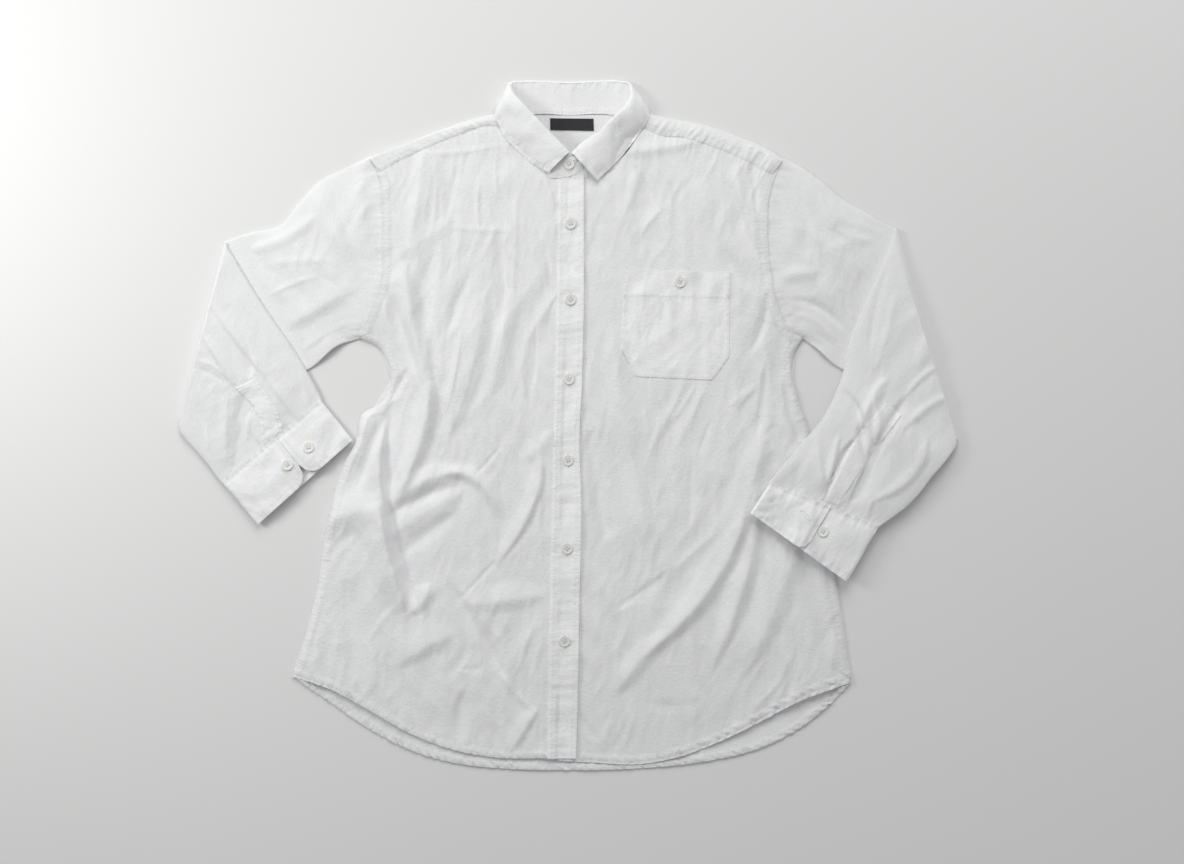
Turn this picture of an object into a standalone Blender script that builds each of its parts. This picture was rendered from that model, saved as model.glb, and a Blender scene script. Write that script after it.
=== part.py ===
"""A man's white cotton shirt, buttoned to the neck and laid flat on its back, with both sleeves
folded back at the elbow so that each lower arm lies over its upper arm.

Sizes and tables are in millimetres, seen from straight above: x to the right, y towards the
collar, z up from the floor. Left and right are the viewer's. MM turns them into metres.
"""
import math
from collections import namedtuple

import bpy
import numpy as np
from mathutils import Vector
from mathutils.bvhtree import BVHTree

MM = 0.001
CLOTH = 1.2  # wall of the solid cloth
BAND = 1.6  # wall of the pieces sewn double: front band, cuffs, collar
SEAM = 0.4  # gap between two pieces at a seam
LAY = 0.5  # gap under a piece that lies on another
FRONT_GAP = 0.3  # between the back panel and the fronts where they lie closest
ARMHOLE_GAP = 0.6  # from the body's armholes to the sleeves, along x
ARMHOLE_POINTS = 11  # on each armhole, shared by the pieces that meet there

BUTTON_WIDTH = 12.7
BUTTON_SIDES = 10
BUTTON_PROFILE = (  # radius and height, from the middle of its underside to the middle of its dished top
    (0, 0), (5.55, 0), (BUTTON_WIDTH / 2, 0.7), (BUTTON_WIDTH / 2, 1.7), (5.65, 2.4), (4.45, 1.8), (0, 1.7),
)
LABEL_SIZE = (51.0, 14.0)
LABEL_PLACE = (2.0, 345.0)
LABEL_THICK = 0.6

# A ridge or trough, with its half widths as seen along it from start to end, downwards on the page.
Fold = namedtuple("Fold", "x0 y0 x1 y1 x2 y2 rise left right")
Across = namedtuple("Across", "ux uy lx ly")  # a line across a sleeve: its outer and its underarm edge
Ring = namedtuple("Ring", "seam_x seam_y roll_x roll_y roll_z edge_x edge_y over")  # across the collar
Strip = namedtuple("Strip", "lx ly rx ry")  # a line across a narrow band: its left and right edge
# Ends of a cuff's seam and outer edge. The slit is a share of the way along, on top.
Cuff = namedtuple("Cuff", "seam_0 seam_1 edge_0 edge_1 slit over corner")

# How far round a place the cloth below is felt for its highest point, so that what lies on it clears it.
POCKET_FEEL = 5.0
LABEL_FEEL = 2.0
SLIT_BAND_FEEL = 6.0
LEAF_FEEL = 8.0
SLEEVE_FEEL = 14.0

# Outline of the body. Each run is a smooth curve, and runs meet at corners.
SIDE_LEFT = (  # hem corner up to the armpit
    (-319, -288), (-304, -241), (-290, -183), (-283, -137), (-274, -91), (-259, -43), (-246, -17),
    (-238, 14), (-218, 25), (-208, 38), (-209, 70), (-218, 88), (-243, 101),
)
ARMHOLE_LEFT = ((-243, 101), (-228, 133), (-217, 167), (-215, 213), (-216, 259), (-218, 282), (-230, 308))
SIDE_RIGHT = (
    (323, -295), (314, -229), (306, -180), (299, -143), (291, -97), (283, -51), (275, -10),
    (261, 34), (255, 61), (258, 82), (268, 101),
)
ARMHOLE_RIGHT = ((268, 101), (250, 111), (238, 136), (229, 180), (226, 225), (230, 270), (244, 306))
HEM_LEFT = (
    (-319, -286), (-276, -301), (-230, -327), (-184, -354), (-138, -372), (-92, -381), (-26, -382.5),
)
HEM_RIGHT = (
    (-30, -383), (30, -386), (80, -387), (126, -378), (172, -360), (218, -337), (264, -312), (323, -290),
)
HEM_BACK = (
    (-319, -288), (-276, -318), (-230, -349), (-184, -373), (-138, -387), (-80, -394), (0, -396),
    (80, -394), (149, -387), (218, -371), (264, -348), (299, -320), (323, -295),
)
BAND_LEFT = ((-26, -382), (-23, -201), (-21, -109), (-18, 6), (-15, 144), (-14, 213), (-13, 279.5))
BAND_RIGHT = (
    (7, -382), (9, -316), (11, -201), (13, -86), (11, -17), (14, 52), (16, 144), (16, 202), (16, 288),
)
UNDER_BAND = (6.0, 1.5)  # how far the right front runs on under the left one, and stays short at the neck
BAND_LIFT = 1.2  # from the right front up to the band over it
OVER_RIGHT = 2.2  # how far the left front's edge rides up over the right front
LAP_REACH = (24.0, 62.0)  # and where, from the middle line, that rise begins to fade and ends
NECK_LEFT = ((-13, 281), (-30, 287), (-44, 298), (-58, 313), (-68, 329), (-74, 346))
NECK_RIGHT = ((-20, 280), (10, 283), (30, 287), (48, 297), (63, 311), (74, 328), (80, 346))
YOKE_SEAM_LEFT = ((-74, 346), (-101, 345), (-126, 336), (-172, 317), (-195, 306), (-218, 293))
YOKE_SEAM_RIGHT = ((80, 346), (109, 334), (126, 333), (149, 327), (195, 309), (232, 290))
SHOULDER_LEFT = ((-84, 357.5), (-103, 354), (-149, 339), (-195, 321), (-230, 308))
SHOULDER_RIGHT = ((90, 357.5), (126, 350), (149, 346), (195, 331), (236, 312), (244, 306))
NECK_BACK_Y = 358.2
YOKE_BACK_Y = 255.0  # hidden seam between the yoke and the back panel
YOKE_ROLL = 1.3  # radius of the yoke's turn over the shoulders

# How far the front stands above the back: along the body, and in from its side edges.
BODY_Y = (-400, -375, -330, -250, -100, 150, 280, 320, 350)
BODY_RISE = (0.3, 1.0, 3.0, 6.5, 8.0, 8.0, 5.5, 4.0, 1.5)
FOLDS_LEFT = (
    Fold(-203, 190, -181, 116, -160, 34, 13, 20, 13),
    Fold(-160, 34, -176, -14, -199, -70, 12, 20, 11),
    Fold(-167, 300, -172, 265, -178, 228, 4, 18, 9),
    Fold(-112, 150, -134, 70, -152, -20, 6, 20, 20),
    Fold(-70, 205, -74, 95, -104, 30, 4, 14, 14),
    Fold(-192, -82, -148, -43, -86, -88, 8, 12, 12),
    Fold(-219, 8, -224, -80, -200, -176, 7, 11, 13),
    Fold(-178, -165, -163, -198, -184, -224, 6, 14, 11),
    Fold(-210, 0, -224, -34, -244, -72, 5, 9, 9),
    Fold(-104, -190, -70, -188, -35, -190, 3, 11, 10),
    Fold(-30, -52, -44, -105, -118, -184, 4, 11, 8),
    Fold(-205, 30, -208, -86, -190, -212, -6, 9, 9),
    Fold(-240, -112, -258, -190, -250, -290, -3, 18, 14),
    Fold(-127, -178, -85, -262, -42, -318, 3, 16, 12),
)
FOLDS_RIGHT = (
    Fold(232, 32, 192, -72, 142, -190, 9, 18, 16),
    Fold(142, -190, 104, -238, 62, -298, 7, 18, 14),
    Fold(238, -130, 203, -228, 150, -338, 8, 13, 17),
    Fold(176, -186, 142, -252, 110, -338, 4, 13, 13),
    Fold(52, 80, 54, 20, 60, -40, 4, 13, 12),
    Fold(62, -36, 78, -98, 94, -158, 4, 13, 12),
    Fold(188, 300, 200, 262, 214, 230, 4, 12, 12),
    Fold(172, -28, 166, -52, 160, -78, 3, 10, 10),
    Fold(20, -130, 24, -220, 33, -305, 3, 9, 12),
    Fold(60, 322, 110, 333, 160, 331, 3, 12, 10),
    Fold(204, 104, 232, 70, 262, -10, -5, 11, 11),
)

# Sleeves. The first line across is the armhole, the last one of the upper arm is the fold.
PINCH = 2.4  # between the two layers' middles at a sleeve's edges
UPPER_SWELL = 5.0
UPPER_SWELL_REACH = (4.0, 60.0)  # from the lower arm's edge, where the upper arm begins to swell and ends
UPPER_FOLD_REACH = (4.0, 30.0)
LEAST_SWELL = 0.2
FOREARM_SWELL = 3.0
BULGE = 0.6  # power of the sine across a flattened tube: fuller at its edges than a round one
FOLDED_LEVEL = 6.0  # middle of a lower arm's underlayer where it lies on the upper arm
FREE_LEVEL = 3.0  # and where it runs on past the upper arm, just clear of the floor
BODY_LEVEL = 10.0  # and where the right one lies on the front
OVER_BODY = 1.5  # from the front's highest place below up to the middle of the lower arm's underlayer
STEP_DOWN = (4.0, 45.0)  # from the upper arm's underarm edge, where a lower arm steps down off it
ONTO_BODY = (-15.0, 60.0)  # from the body's edge, where the right one climbs on to the front
BESIDE_ARM = (-40.0, 10.0)
UNDERARM_LEFT = ((-448, 9), (-305, 64))
UNDERARM_RIGHT = ((308, 67), (445, -13))
INNER_EDGE_LEFT = ((-286, 27), (-397, 209))
INNER_EDGE_RIGHT = ((376, 224), (310, 40))
BODY_EDGE_RIGHT = ((262, 60), (306, -180))
UPPER_LEFT = (
    Across(-262, 291.5, -270, 87), Across(-287, 279.5, -297, 69), Across(-311, 254, -330, 55),
    Across(-333, 228, -365, 41), Across(-366, 220, -405, 25.5), Across(-397, 209, -448, 9),
)
LOWER_LEFT = (
    Across(-397, 209, -448, 9), Across(-387, 192, -447, -3), Across(-368, 160, -441, -13),
    Across(-347, 127, -432, -23), Across(-326, 97, -423, -33), Across(-308, 69, -414, -44),
    Across(-295, 46, -406, -55), Across(-286, 28, -398, -65),
)
UPPER_RIGHT = (
    Across(262, 297.5, 283, 90), Across(286, 281, 303, 72), Across(312, 259, 335, 54),
    Across(340, 243, 372, 32), Across(361, 231, 410, 9), Across(376, 224, 445, -15),
)
LOWER_RIGHT = (
    Across(376, 224, 445, -15), Across(366, 197, 441, -24), Across(352, 163, 432, -36),
    Across(336, 127, 422, -48), Across(322, 90, 413, -58), Across(311, 50, 401, -74),
    Across(292, 10, 385, -91), Across(262, -27, 368, -104), Across(228, -67, 353, -115),
)
SLEEVE_FOLDS_LEFT = (
    Fold(-262, 288, -250, 240, -236, 196, -3, 13, 13),
    Fold(-310, 226, -340, 222, -366, 196, 4, 12, 12),
    Fold(-322, 126, -296, 150, -258, 152, 4, 14, 10),
    Fold(-256, 150, -270, 128, -300, 84, 3, 16, 12),
)
FOREARM_FOLDS_LEFT = (
    Fold(-384, 40, -392, 0, -394, -52, -6, 10, 12),
    Fold(-410, 142, -384, 100, -356, 62, 4, 9, 14),
    Fold(-420, 98, -404, 70, -384, 46, 3, 8, 9),
    Fold(-366, 20, -352, -6, -350, -28, 3, 8, 8),
)
SLEEVE_FOLDS_RIGHT = (
    Fold(262, 262, 262, 230, 268, 196, 3, 12, 12),
    Fold(262, 148, 292, 132, 322, 92, 4, 10, 12),
    Fold(246, 158, 270, 170, 300, 168, 3, 12, 12),
)
FOREARM_FOLDS_RIGHT = (
    Fold(322, 44, 352, 58, 388, 54, 4, 12, 12),
    Fold(436, 30, 404, 4, 352, -84, 5, 13, 11),
    Fold(336, 26, 334, -6, 322, -42, 4, 9, 10),
    Fold(288, 2, 292, -36, 284, -66, 4, 9, 10),
    Fold(308, -10, 312, -40, 296, -68, -4, 8, 8),
    Fold(376, 4, 356, -22, 334, -56, -5, 9, 9),
)
SLIT_BAND_LEFT = (
    Strip(-383, 43, -360, 54), Strip(-370, 31, -347, 35), Strip(-359, 16, -335, 15), Strip(-354, 0, -330, -2),
    Strip(-352, -23, -329, -6),
)
SLIT_BAND_RIGHT = (
    Strip(362, 26, 379, 12), Strip(338, 0, 357, -17), Strip(316, -32, 336, -45), Strip(299, -60, 318, -72),
    Strip(287, -84, 306, -91),
)

# Collar, from its left front end round the back of the neck to its right front end.
STAND_END_LEFT = ((15, 295), (11, 305, 2.5))  # the stand's upper end, past the front: seam; top, and its drop
STAND_END_RIGHT = ((-13, 284), (-11, 302, 3.0))  # and its lower end, under the upper one
OVERLAP = 2.6  # how far the stand's upper end lies above the lower one, and a lapped cuff's
BACK_NECK_Y = 350.0  # beyond it the stand lies flat at the back
BACK_STAND_Z = 3.3  # middle of the stand where it lies on the leaf at the back
LEAF_START = 2.6  # from the stand's top edge to the leaf, and the radius it turns over at
LEAF_TURN = 1.5
LEAF_BOW = 4.0
COLLAR = (
    Ring(0, 288, -1, 311, 15.0, -24, 289.5, 1),
    Ring(-22, 285.5, -15, 325, 16.5, -36, 296, 1),
    Ring(-40, 295, -29, 339, 17.5, -50, 306, 1),
    Ring(-54, 309, -43, 354, 17.5, -66, 321, 1),
    Ring(-64, 325, -56, 368, 16.0, -78, 337, 1),
    Ring(-69, 343, -65, 381, 12.0, -85.5, 356, 1),
    Ring(-62, 354, -67, 391, 6.5, -82, 368, 0),
    Ring(-46, 358.9, -55, 393.4, 4.0, -62, 361.5, 0),
    Ring(0, 358.9, 0, 392.4, 3.5, 0, 361, 0),
    Ring(50, 358.9, 57, 393.4, 4.0, 64, 361.5, 0),
    Ring(66, 354, 68, 390, 6.5, 85, 368, 0),
    Ring(75, 342, 69, 377, 12.0, 90.5, 355, 1),
    Ring(71, 326, 62, 362, 16.0, 81, 337, 1),
    Ring(60, 309, 49, 349, 17.5, 69, 321, 1),
    Ring(45, 295, 33, 335, 16.0, 54, 304, 1),
    Ring(26, 286.5, 17, 323, 14.0, 42, 291, 1),
    Ring(4, 283.5, 3, 310, 12.0, 31, 281, 1),
)

CUFF_LEFT = Cuff((-285.7, 27.6), (-397.7, -65.4), (-249.5, -17), (-357, -113), 0.45, -0.02, 15.0)
CUFF_RIGHT = Cuff((227.8, -67.5), (352.8, -115.5), (206, -100), (316, -178.5), 0.60, 0.06, 5.0)
CUFF_SWELL = 3.4
CUFF_GAP = 0.3  # from the lower arm's underlayer up to the cuff's
CUFF_LAP_REACH = (0.10, 0.25)  # shares of the length from the upper end, where it comes down off the lower

FRONT_BUTTONS = ((1, 231), (1, 144), (-1, 53), (-2, -40), (-3, -141), (-6, -247))
STAND_BUTTON = (-1, 299)
POCKET_BUTTON = (126, 164)
CUFF_BUTTONS_LEFT = ((-299, -25), (-323, -45))
CUFF_BUTTON_RIGHT = (289, -121)
POCKET = ((63, 178), (183, 175), (182, 78), (163, 52), (76, 56), (59, 87))  # from its top left, clockwise


def clear_scene():
    for thing in list(bpy.data.objects):
        bpy.data.objects.remove(thing)


def cloth_material(name, colour, roughness):
    material = bpy.data.materials.new(name)
    material.use_nodes = True
    shader = material.node_tree.nodes["Principled BSDF"]
    shader.inputs["Base Color"].default_value = (*colour, 1.0)
    shader.inputs["Roughness"].default_value = roughness
    shader.inputs["Metallic"].default_value = 0.0
    return material


def smooth_line(points, count):
    """A smooth curve through the points, as count points evenly spaced along it."""
    p = np.array(points, float)
    knots = np.concatenate([[0.0], np.cumsum(np.linalg.norm(np.diff(p, axis=0), axis=1))])
    slopes = np.gradient(p, knots, axis=0)
    fine = np.linspace(0.0, knots[-1], 40 * len(p))
    i = np.clip(np.searchsorted(knots, fine, side="right") - 1, 0, len(p) - 2)
    step = (knots[i + 1] - knots[i])[:, None]
    t = (fine - knots[i])[:, None] / step
    line = (
        (2 * t**3 - 3 * t**2 + 1) * p[i]
        + (t**3 - 2 * t**2 + t) * step * slopes[i]
        + (3 * t**2 - 2 * t**3) * p[i + 1]
        + (t**3 - t**2) * step * slopes[i + 1]
    )
    run = np.concatenate([[0.0], np.cumsum(np.linalg.norm(np.diff(line, axis=0), axis=1))])
    at = np.linspace(0.0, run[-1], count)
    return np.stack([np.interp(at, run, line[:, k]) for k in range(line.shape[1])], axis=1)


def trimmed(line, y, above):
    """The part of a rising line above or below a height, cut exactly there."""
    cut = np.array([[np.interp(y, line[:, 1], line[:, 0]), y]])
    return np.concatenate([cut, line[line[:, 1] > y]] if above else [line[line[:, 1] < y], cut])


def divided(line, count):
    """The same line with its longest pieces halved until it has count points."""
    while len(line) < count:
        longest = np.linalg.norm(np.diff(line, axis=0), axis=1).argmax()
        line = np.insert(line, longest + 1, line[longest : longest + 2].mean(axis=0), axis=0)
    return line


def joined(*runs):
    """Runs that meet end to end, as one line without the doubled points."""
    return np.concatenate([runs[0]] + [run[1:] for run in runs[1:]])


def patch(bottom, top, left, right):
    """A grid of plan points between four edges, rows from bottom to top."""
    u = np.linspace(0, 1, len(bottom))[None, :, None]
    v = np.linspace(0, 1, len(left))[:, None, None]
    between = (1 - v) * bottom[None] + v * top[None] + (1 - u) * left[:, None] + u * right[:, None]
    corners = (
        (1 - u) * (1 - v) * bottom[0] + u * (1 - v) * bottom[-1] + (1 - u) * v * top[0] + u * v * top[-1]
    )
    return between - corners


def fold_height(x, y, folds):
    """Sum of the folds at a plan point. Each is a ridge or trough along a curve through 3 points."""
    total = np.zeros(np.shape(x))
    t = np.linspace(0, 1, 25)
    for f in folds:
        bend_x, bend_y = 2 * f.x1 - (f.x0 + f.x2) / 2, 2 * f.y1 - (f.y0 + f.y2) / 2
        path_x = (1 - t) ** 2 * f.x0 + 2 * t * (1 - t) * bend_x + t**2 * f.x2
        path_y = (1 - t) ** 2 * f.y0 + 2 * t * (1 - t) * bend_y + t**2 * f.y2
        away_x, away_y = np.asarray(x)[..., None] - path_x, np.asarray(y)[..., None] - path_y
        away = np.hypot(away_x, away_y)
        near = away.argmin(-1)[..., None]
        side = np.gradient(path_x)[near[..., 0]] * np.take_along_axis(away_y, near, -1)[..., 0]
        side -= np.gradient(path_y)[near[..., 0]] * np.take_along_axis(away_x, near, -1)[..., 0]
        pace = np.hypot(np.gradient(path_x), np.gradient(path_y))[near[..., 0]]
        sine = side / (pace * np.take_along_axis(away, near, -1)[..., 0] + 1e-9)
        width = (f.left + f.right) / 2 + sine * (f.right - f.left) / 2
        along = t[near[..., 0]]
        taper = np.clip(np.minimum(along, 1 - along) / 0.25, 0.25, 1)
        total += f.rise * taper * np.exp(-((np.take_along_axis(away, near, -1)[..., 0] / width) ** 2))
    return total


def ramp(distance, near, far):
    """1 up to near, 0 from far on, and smooth between."""
    t = np.clip((np.asarray(distance, float) - near) / (far - near), 0, 1)
    return 1 - t * t * (3 - 2 * t)


def past_line(x, y, start, end):
    """How far a plan point lies to the right of the line from start to end."""
    along = np.array([end[0] - start[0], end[1] - start[1]], float)
    along /= np.linalg.norm(along)
    return (np.asarray(x) - start[0]) * along[1] - (np.asarray(y) - start[1]) * along[0]


def body_rise(x, y):
    """Height of the front's underside above its lowest place, over the whole body."""
    left = np.array(joined(smooth_line(SIDE_LEFT, 30), smooth_line(ARMHOLE_LEFT, 12)))
    right = np.array(joined(smooth_line(SIDE_RIGHT, 30), smooth_line(ARMHOLE_RIGHT, 12)))
    level_left = np.interp(y, np.maximum.accumulate(left[:, 1]), left[:, 0])
    level_right = np.interp(y, np.maximum.accumulate(right[:, 1]), right[:, 0])
    inwards = np.clip((x - level_left) / (level_right - level_left), 0, 1)
    round_edge = (1 - np.abs(2 * inwards - 1) ** 5) ** 0.7
    return round_edge * np.interp(y, BODY_Y, BODY_RISE)


def front_underside(x, y, folds):
    """Underside of the right front. The left one is the same, raised over it at the band."""
    rise = body_rise(x, y)
    ground = np.minimum(rise / 3.0, 1.0)
    return CLOTH + FRONT_GAP + np.maximum(rise + fold_height(x, y, folds) * ground, 0.0)


def add_object(name, points, faces, material):
    mesh = bpy.data.meshes.new(name)
    mesh.from_pydata((np.asarray(points, float) * MM).tolist(), [], faces)
    mesh.validate()
    mesh.materials.append(material)
    mesh.shade_smooth()
    mesh.set_sharp_from_angle(angle=math.radians(50))
    thing = bpy.data.objects.new(name, mesh)
    bpy.context.collection.objects.link(thing)
    return thing


def grid_faces(rows, cols, ring=False, start=0):
    wrap = cols if ring else cols - 1
    return [
        (
            start + r * cols + c,
            start + r * cols + (c + 1) % cols,
            start + (r + 1) * cols + (c + 1) % cols,
            start + (r + 1) * cols + c,
        )
        for r in range(rows - 1)
        for c in range(wrap)
    ]


def laid_panel(name, plan, underside, thick, material):
    """A panel with upright edges: its underside follows a height, its top is thick above it."""
    rows, cols = plan.shape[:2]
    lower = np.dstack([plan, underside]).reshape(-1, 3)
    upper = lower + (0, 0, thick)
    count = rows * cols
    faces = grid_faces(rows, cols, start=count)
    faces += [face[::-1] for face in grid_faces(rows, cols)]
    rim = list(range(cols)) + [r * cols + cols - 1 for r in range(1, rows)]
    rim += [(rows - 1) * cols + c for c in range(cols - 2, -1, -1)]
    rim += [r * cols for r in range(rows - 2, 0, -1)]
    faces += [(a, b, b + count, a + count) for a, b in zip(rim, rim[1:] + rim[:1])]
    return add_object(name, np.concatenate([lower, upper]), faces, material)


def soft_wall(name, grid, thick, material, ring=False, faces=None):
    """A wall of even thickness on both sides of a grid of points, rows by columns."""
    rows, cols = grid.shape[:2]
    thing = add_object(name, grid.reshape(-1, 3), faces or grid_faces(rows, cols, ring), material)
    wall = thing.modifiers.new("wall", "SOLIDIFY")
    wall.thickness = thick * MM
    wall.offset = 0
    return thing


class Surface:
    """The tops of finished pieces, to lay the next piece on."""

    def __init__(self, *things):
        graph = bpy.context.evaluated_depsgraph_get()
        self.trees = [BVHTree.FromObject(thing, graph) for thing in things]

    def top(self, x, y):
        start = Vector((x * MM, y * MM, 1.0))
        found = [tree.ray_cast(start, Vector((0, 0, -1)))[0] for tree in self.trees]
        return max([hit.z / MM for hit in found if hit is not None], default=0.0)

    def reach(self, x, y, radius):
        """The highest place within a radius of a plan point."""
        steps = [(0, 0)] + [(math.cos(a), math.sin(a)) for a in np.arange(8) * math.pi / 4]
        return max(self.top(x + radius * c, y + radius * s) for c, s in steps)

    def under(self, plan, radius):
        return np.array([[self.reach(x, y, radius) for x, y in row] for row in plan])


def side_and_armhole(side, armhole, rows):
    return joined(smooth_line(side, rows), smooth_line(armhole, ARMHOLE_POINTS))


def make_back(cotton):
    left = trimmed(side_and_armhole(SIDE_LEFT, ARMHOLE_LEFT, 16), YOKE_BACK_Y - SEAM, above=False)
    right = trimmed(side_and_armhole(SIDE_RIGHT, ARMHOLE_RIGHT, 16), YOKE_BACK_Y - SEAM, above=False)
    rows, cols = max(len(left), len(right)), 10
    left, right = divided(left, rows), divided(right, rows)
    bottom = smooth_line(HEM_BACK, cols)
    bottom[0], bottom[-1] = left[0], right[0]
    top = np.linspace(left[-1], right[-1], cols)
    plan = patch(bottom, top, left, right)
    return laid_panel("back", plan, np.zeros(plan.shape[:2]), CLOTH, cotton)


def make_yoke(cotton):
    """One sheet: flat behind the shoulders, rolled over each of them to its front seam."""
    rows, side, neck = 5, 9, 5
    left = divided(trimmed(smooth_line(ARMHOLE_LEFT, ARMHOLE_POINTS), YOKE_BACK_Y, above=True), rows)
    right = divided(trimmed(smooth_line(ARMHOLE_RIGHT, ARMHOLE_POINTS), YOKE_BACK_Y, above=True), rows)
    shoulder_left = smooth_line(SHOULDER_LEFT, side)[::-1]
    shoulder_right = smooth_line(SHOULDER_RIGHT, side)
    neck_x = np.linspace(SHOULDER_LEFT[0][0], SHOULDER_RIGHT[0][0], neck + 2)
    neck_edge = np.column_stack([neck_x, np.full(neck + 2, NECK_BACK_Y)])
    neck_edge[0], neck_edge[-1] = shoulder_left[-1], shoulder_right[0]
    top = joined(shoulder_left, neck_edge, shoulder_right)
    cols = len(top)
    flat = patch(np.linspace(left[0], right[0], cols), top, left, right)
    level = np.full((1, cols, 1), CLOTH / 2)
    layers = [np.concatenate([flat[r : r + 1], level], axis=2) for r in range(rows - 1)]
    for angle in (-90, -45, 0, 45, 90):
        a = math.radians(angle)
        across = top + (0, YOKE_ROLL * (math.cos(a) - 1) - CLOTH / 2)
        across[0, 0] = np.interp(across[0, 1], left[:, 1], left[:, 0])
        across[-1, 0] = np.interp(across[-1, 1], right[:, 1], right[:, 0])
        layers.append(np.concatenate([across[None], level + YOKE_ROLL * (1 + math.sin(a))], axis=2))
    seam = joined(smooth_line(YOKE_SEAM_LEFT, side)[::-1], neck_edge, smooth_line(YOKE_SEAM_RIGHT, side))
    seam_z = np.maximum(front_underside(seam[:, 0], seam[:, 1], ()), 2 * YOKE_ROLL) + CLOTH / 2
    seam_line = np.column_stack([seam + (0, 2 * SEAM), seam_z])
    layers += [(layers[-1] + seam_line) / 2, seam_line[None]]
    grid = np.concatenate(layers)
    neck_columns = range(side - 1, side + neck)
    faces = [
        face
        for face in grid_faces(len(grid), cols)
        if face[0] // cols < rows - 1 or face[0] % cols not in neck_columns
    ]
    return soft_wall("yoke", grid, CLOTH, cotton, faces=faces)


def make_fronts(cotton):
    side_rows, neck, shoulder = 22, 9, 14
    left = side_and_armhole(SIDE_LEFT, ARMHOLE_LEFT, side_rows)
    left[-1] = YOKE_SEAM_LEFT[-1]
    right = smooth_line(BAND_LEFT, len(left)) - (SEAM, 0)
    top = joined(smooth_line(YOKE_SEAM_LEFT, shoulder)[::-1], smooth_line(NECK_LEFT, neck)[::-1])
    plan = patch(smooth_line(HEM_LEFT, len(top)), top, left, right)
    over_right = OVER_RIGHT * ramp(-plan[..., 0], *LAP_REACH)
    under = front_underside(plan[..., 0], plan[..., 1], FOLDS_LEFT) + over_right
    front_left = laid_panel("front_left", plan, under, CLOTH, cotton)

    right = side_and_armhole(SIDE_RIGHT, ARMHOLE_RIGHT, side_rows)
    right[-1] = YOKE_SEAM_RIGHT[-1]
    left = smooth_line(BAND_LEFT, len(right)) - UNDER_BAND
    top = joined(smooth_line(NECK_RIGHT, neck + 1), smooth_line(YOKE_SEAM_RIGHT, shoulder))
    plan = patch(smooth_line(HEM_RIGHT, len(top)), top, left, right)
    under = front_underside(plan[..., 0], plan[..., 1], FOLDS_RIGHT)
    return front_left, laid_panel("front_right", plan, under, CLOTH, cotton)


def make_placket(cotton):
    rows = 38
    left, right = smooth_line(BAND_LEFT, rows), smooth_line(BAND_RIGHT, rows)
    share = np.linspace(0, 1, 3)[None, :, None]
    plan = left[:, None] * (1 - share) + right[:, None] * share
    under = front_underside(plan[..., 0], plan[..., 1], FOLDS_RIGHT) + CLOTH + BAND_LIFT
    return laid_panel("placket", plan, under, BAND, cotton)


def make_pocket(front_right, cotton):
    """A patch with two cut corners: rows from the bottom, each between its left and right edge."""
    top_left, top_right, right_cut, bottom_right, bottom_left, left_cut = np.array(POCKET, float)
    left = joined(np.linspace(bottom_left, left_cut, 3), np.linspace(left_cut, top_left, 7))
    right = joined(np.linspace(bottom_right, right_cut, 3), np.linspace(right_cut, top_right, 7))
    share = np.linspace(0, 1, 10)[None, :, None]
    plan = left[:, None] * (1 - share) + right[:, None] * share
    return laid_panel("pocket", plan, Surface(front_right).under(plan, POCKET_FEEL) + LAY, CLOTH, cotton)


def make_label(yoke, black):
    wide, tall = LABEL_SIZE
    x = np.linspace(-wide / 2, wide / 2, 7) + LABEL_PLACE[0]
    y = np.linspace(-tall / 2, tall / 2, 3) + LABEL_PLACE[1]
    plan = np.dstack(np.meshgrid(x, y))
    return laid_panel("label", plan, Surface(yoke).under(plan, LABEL_FEEL) + SEAM, LABEL_THICK, black)


def tube_ring(outer, inner):
    """A closed ring round both layers of a sleeve, each a line of points between its two edges."""
    across = (outer[0] - outer[-1])[:2]
    across /= np.linalg.norm(across)

    def cap(start, end, outwards):
        middle, half = (start + end) / 2, (end - start) / 2
        reach = np.array([*outwards * PINCH / 2, 0.0])
        return [middle + half * math.sin(a) + reach * math.cos(a) for a in np.radians((-45, 0, 45))]

    underarm, outer_edge = cap(outer[-1], inner[-1], -across), cap(inner[0], outer[0], across)
    return np.array([*outer, *underarm, *inner[::-1], *outer_edge])


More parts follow.
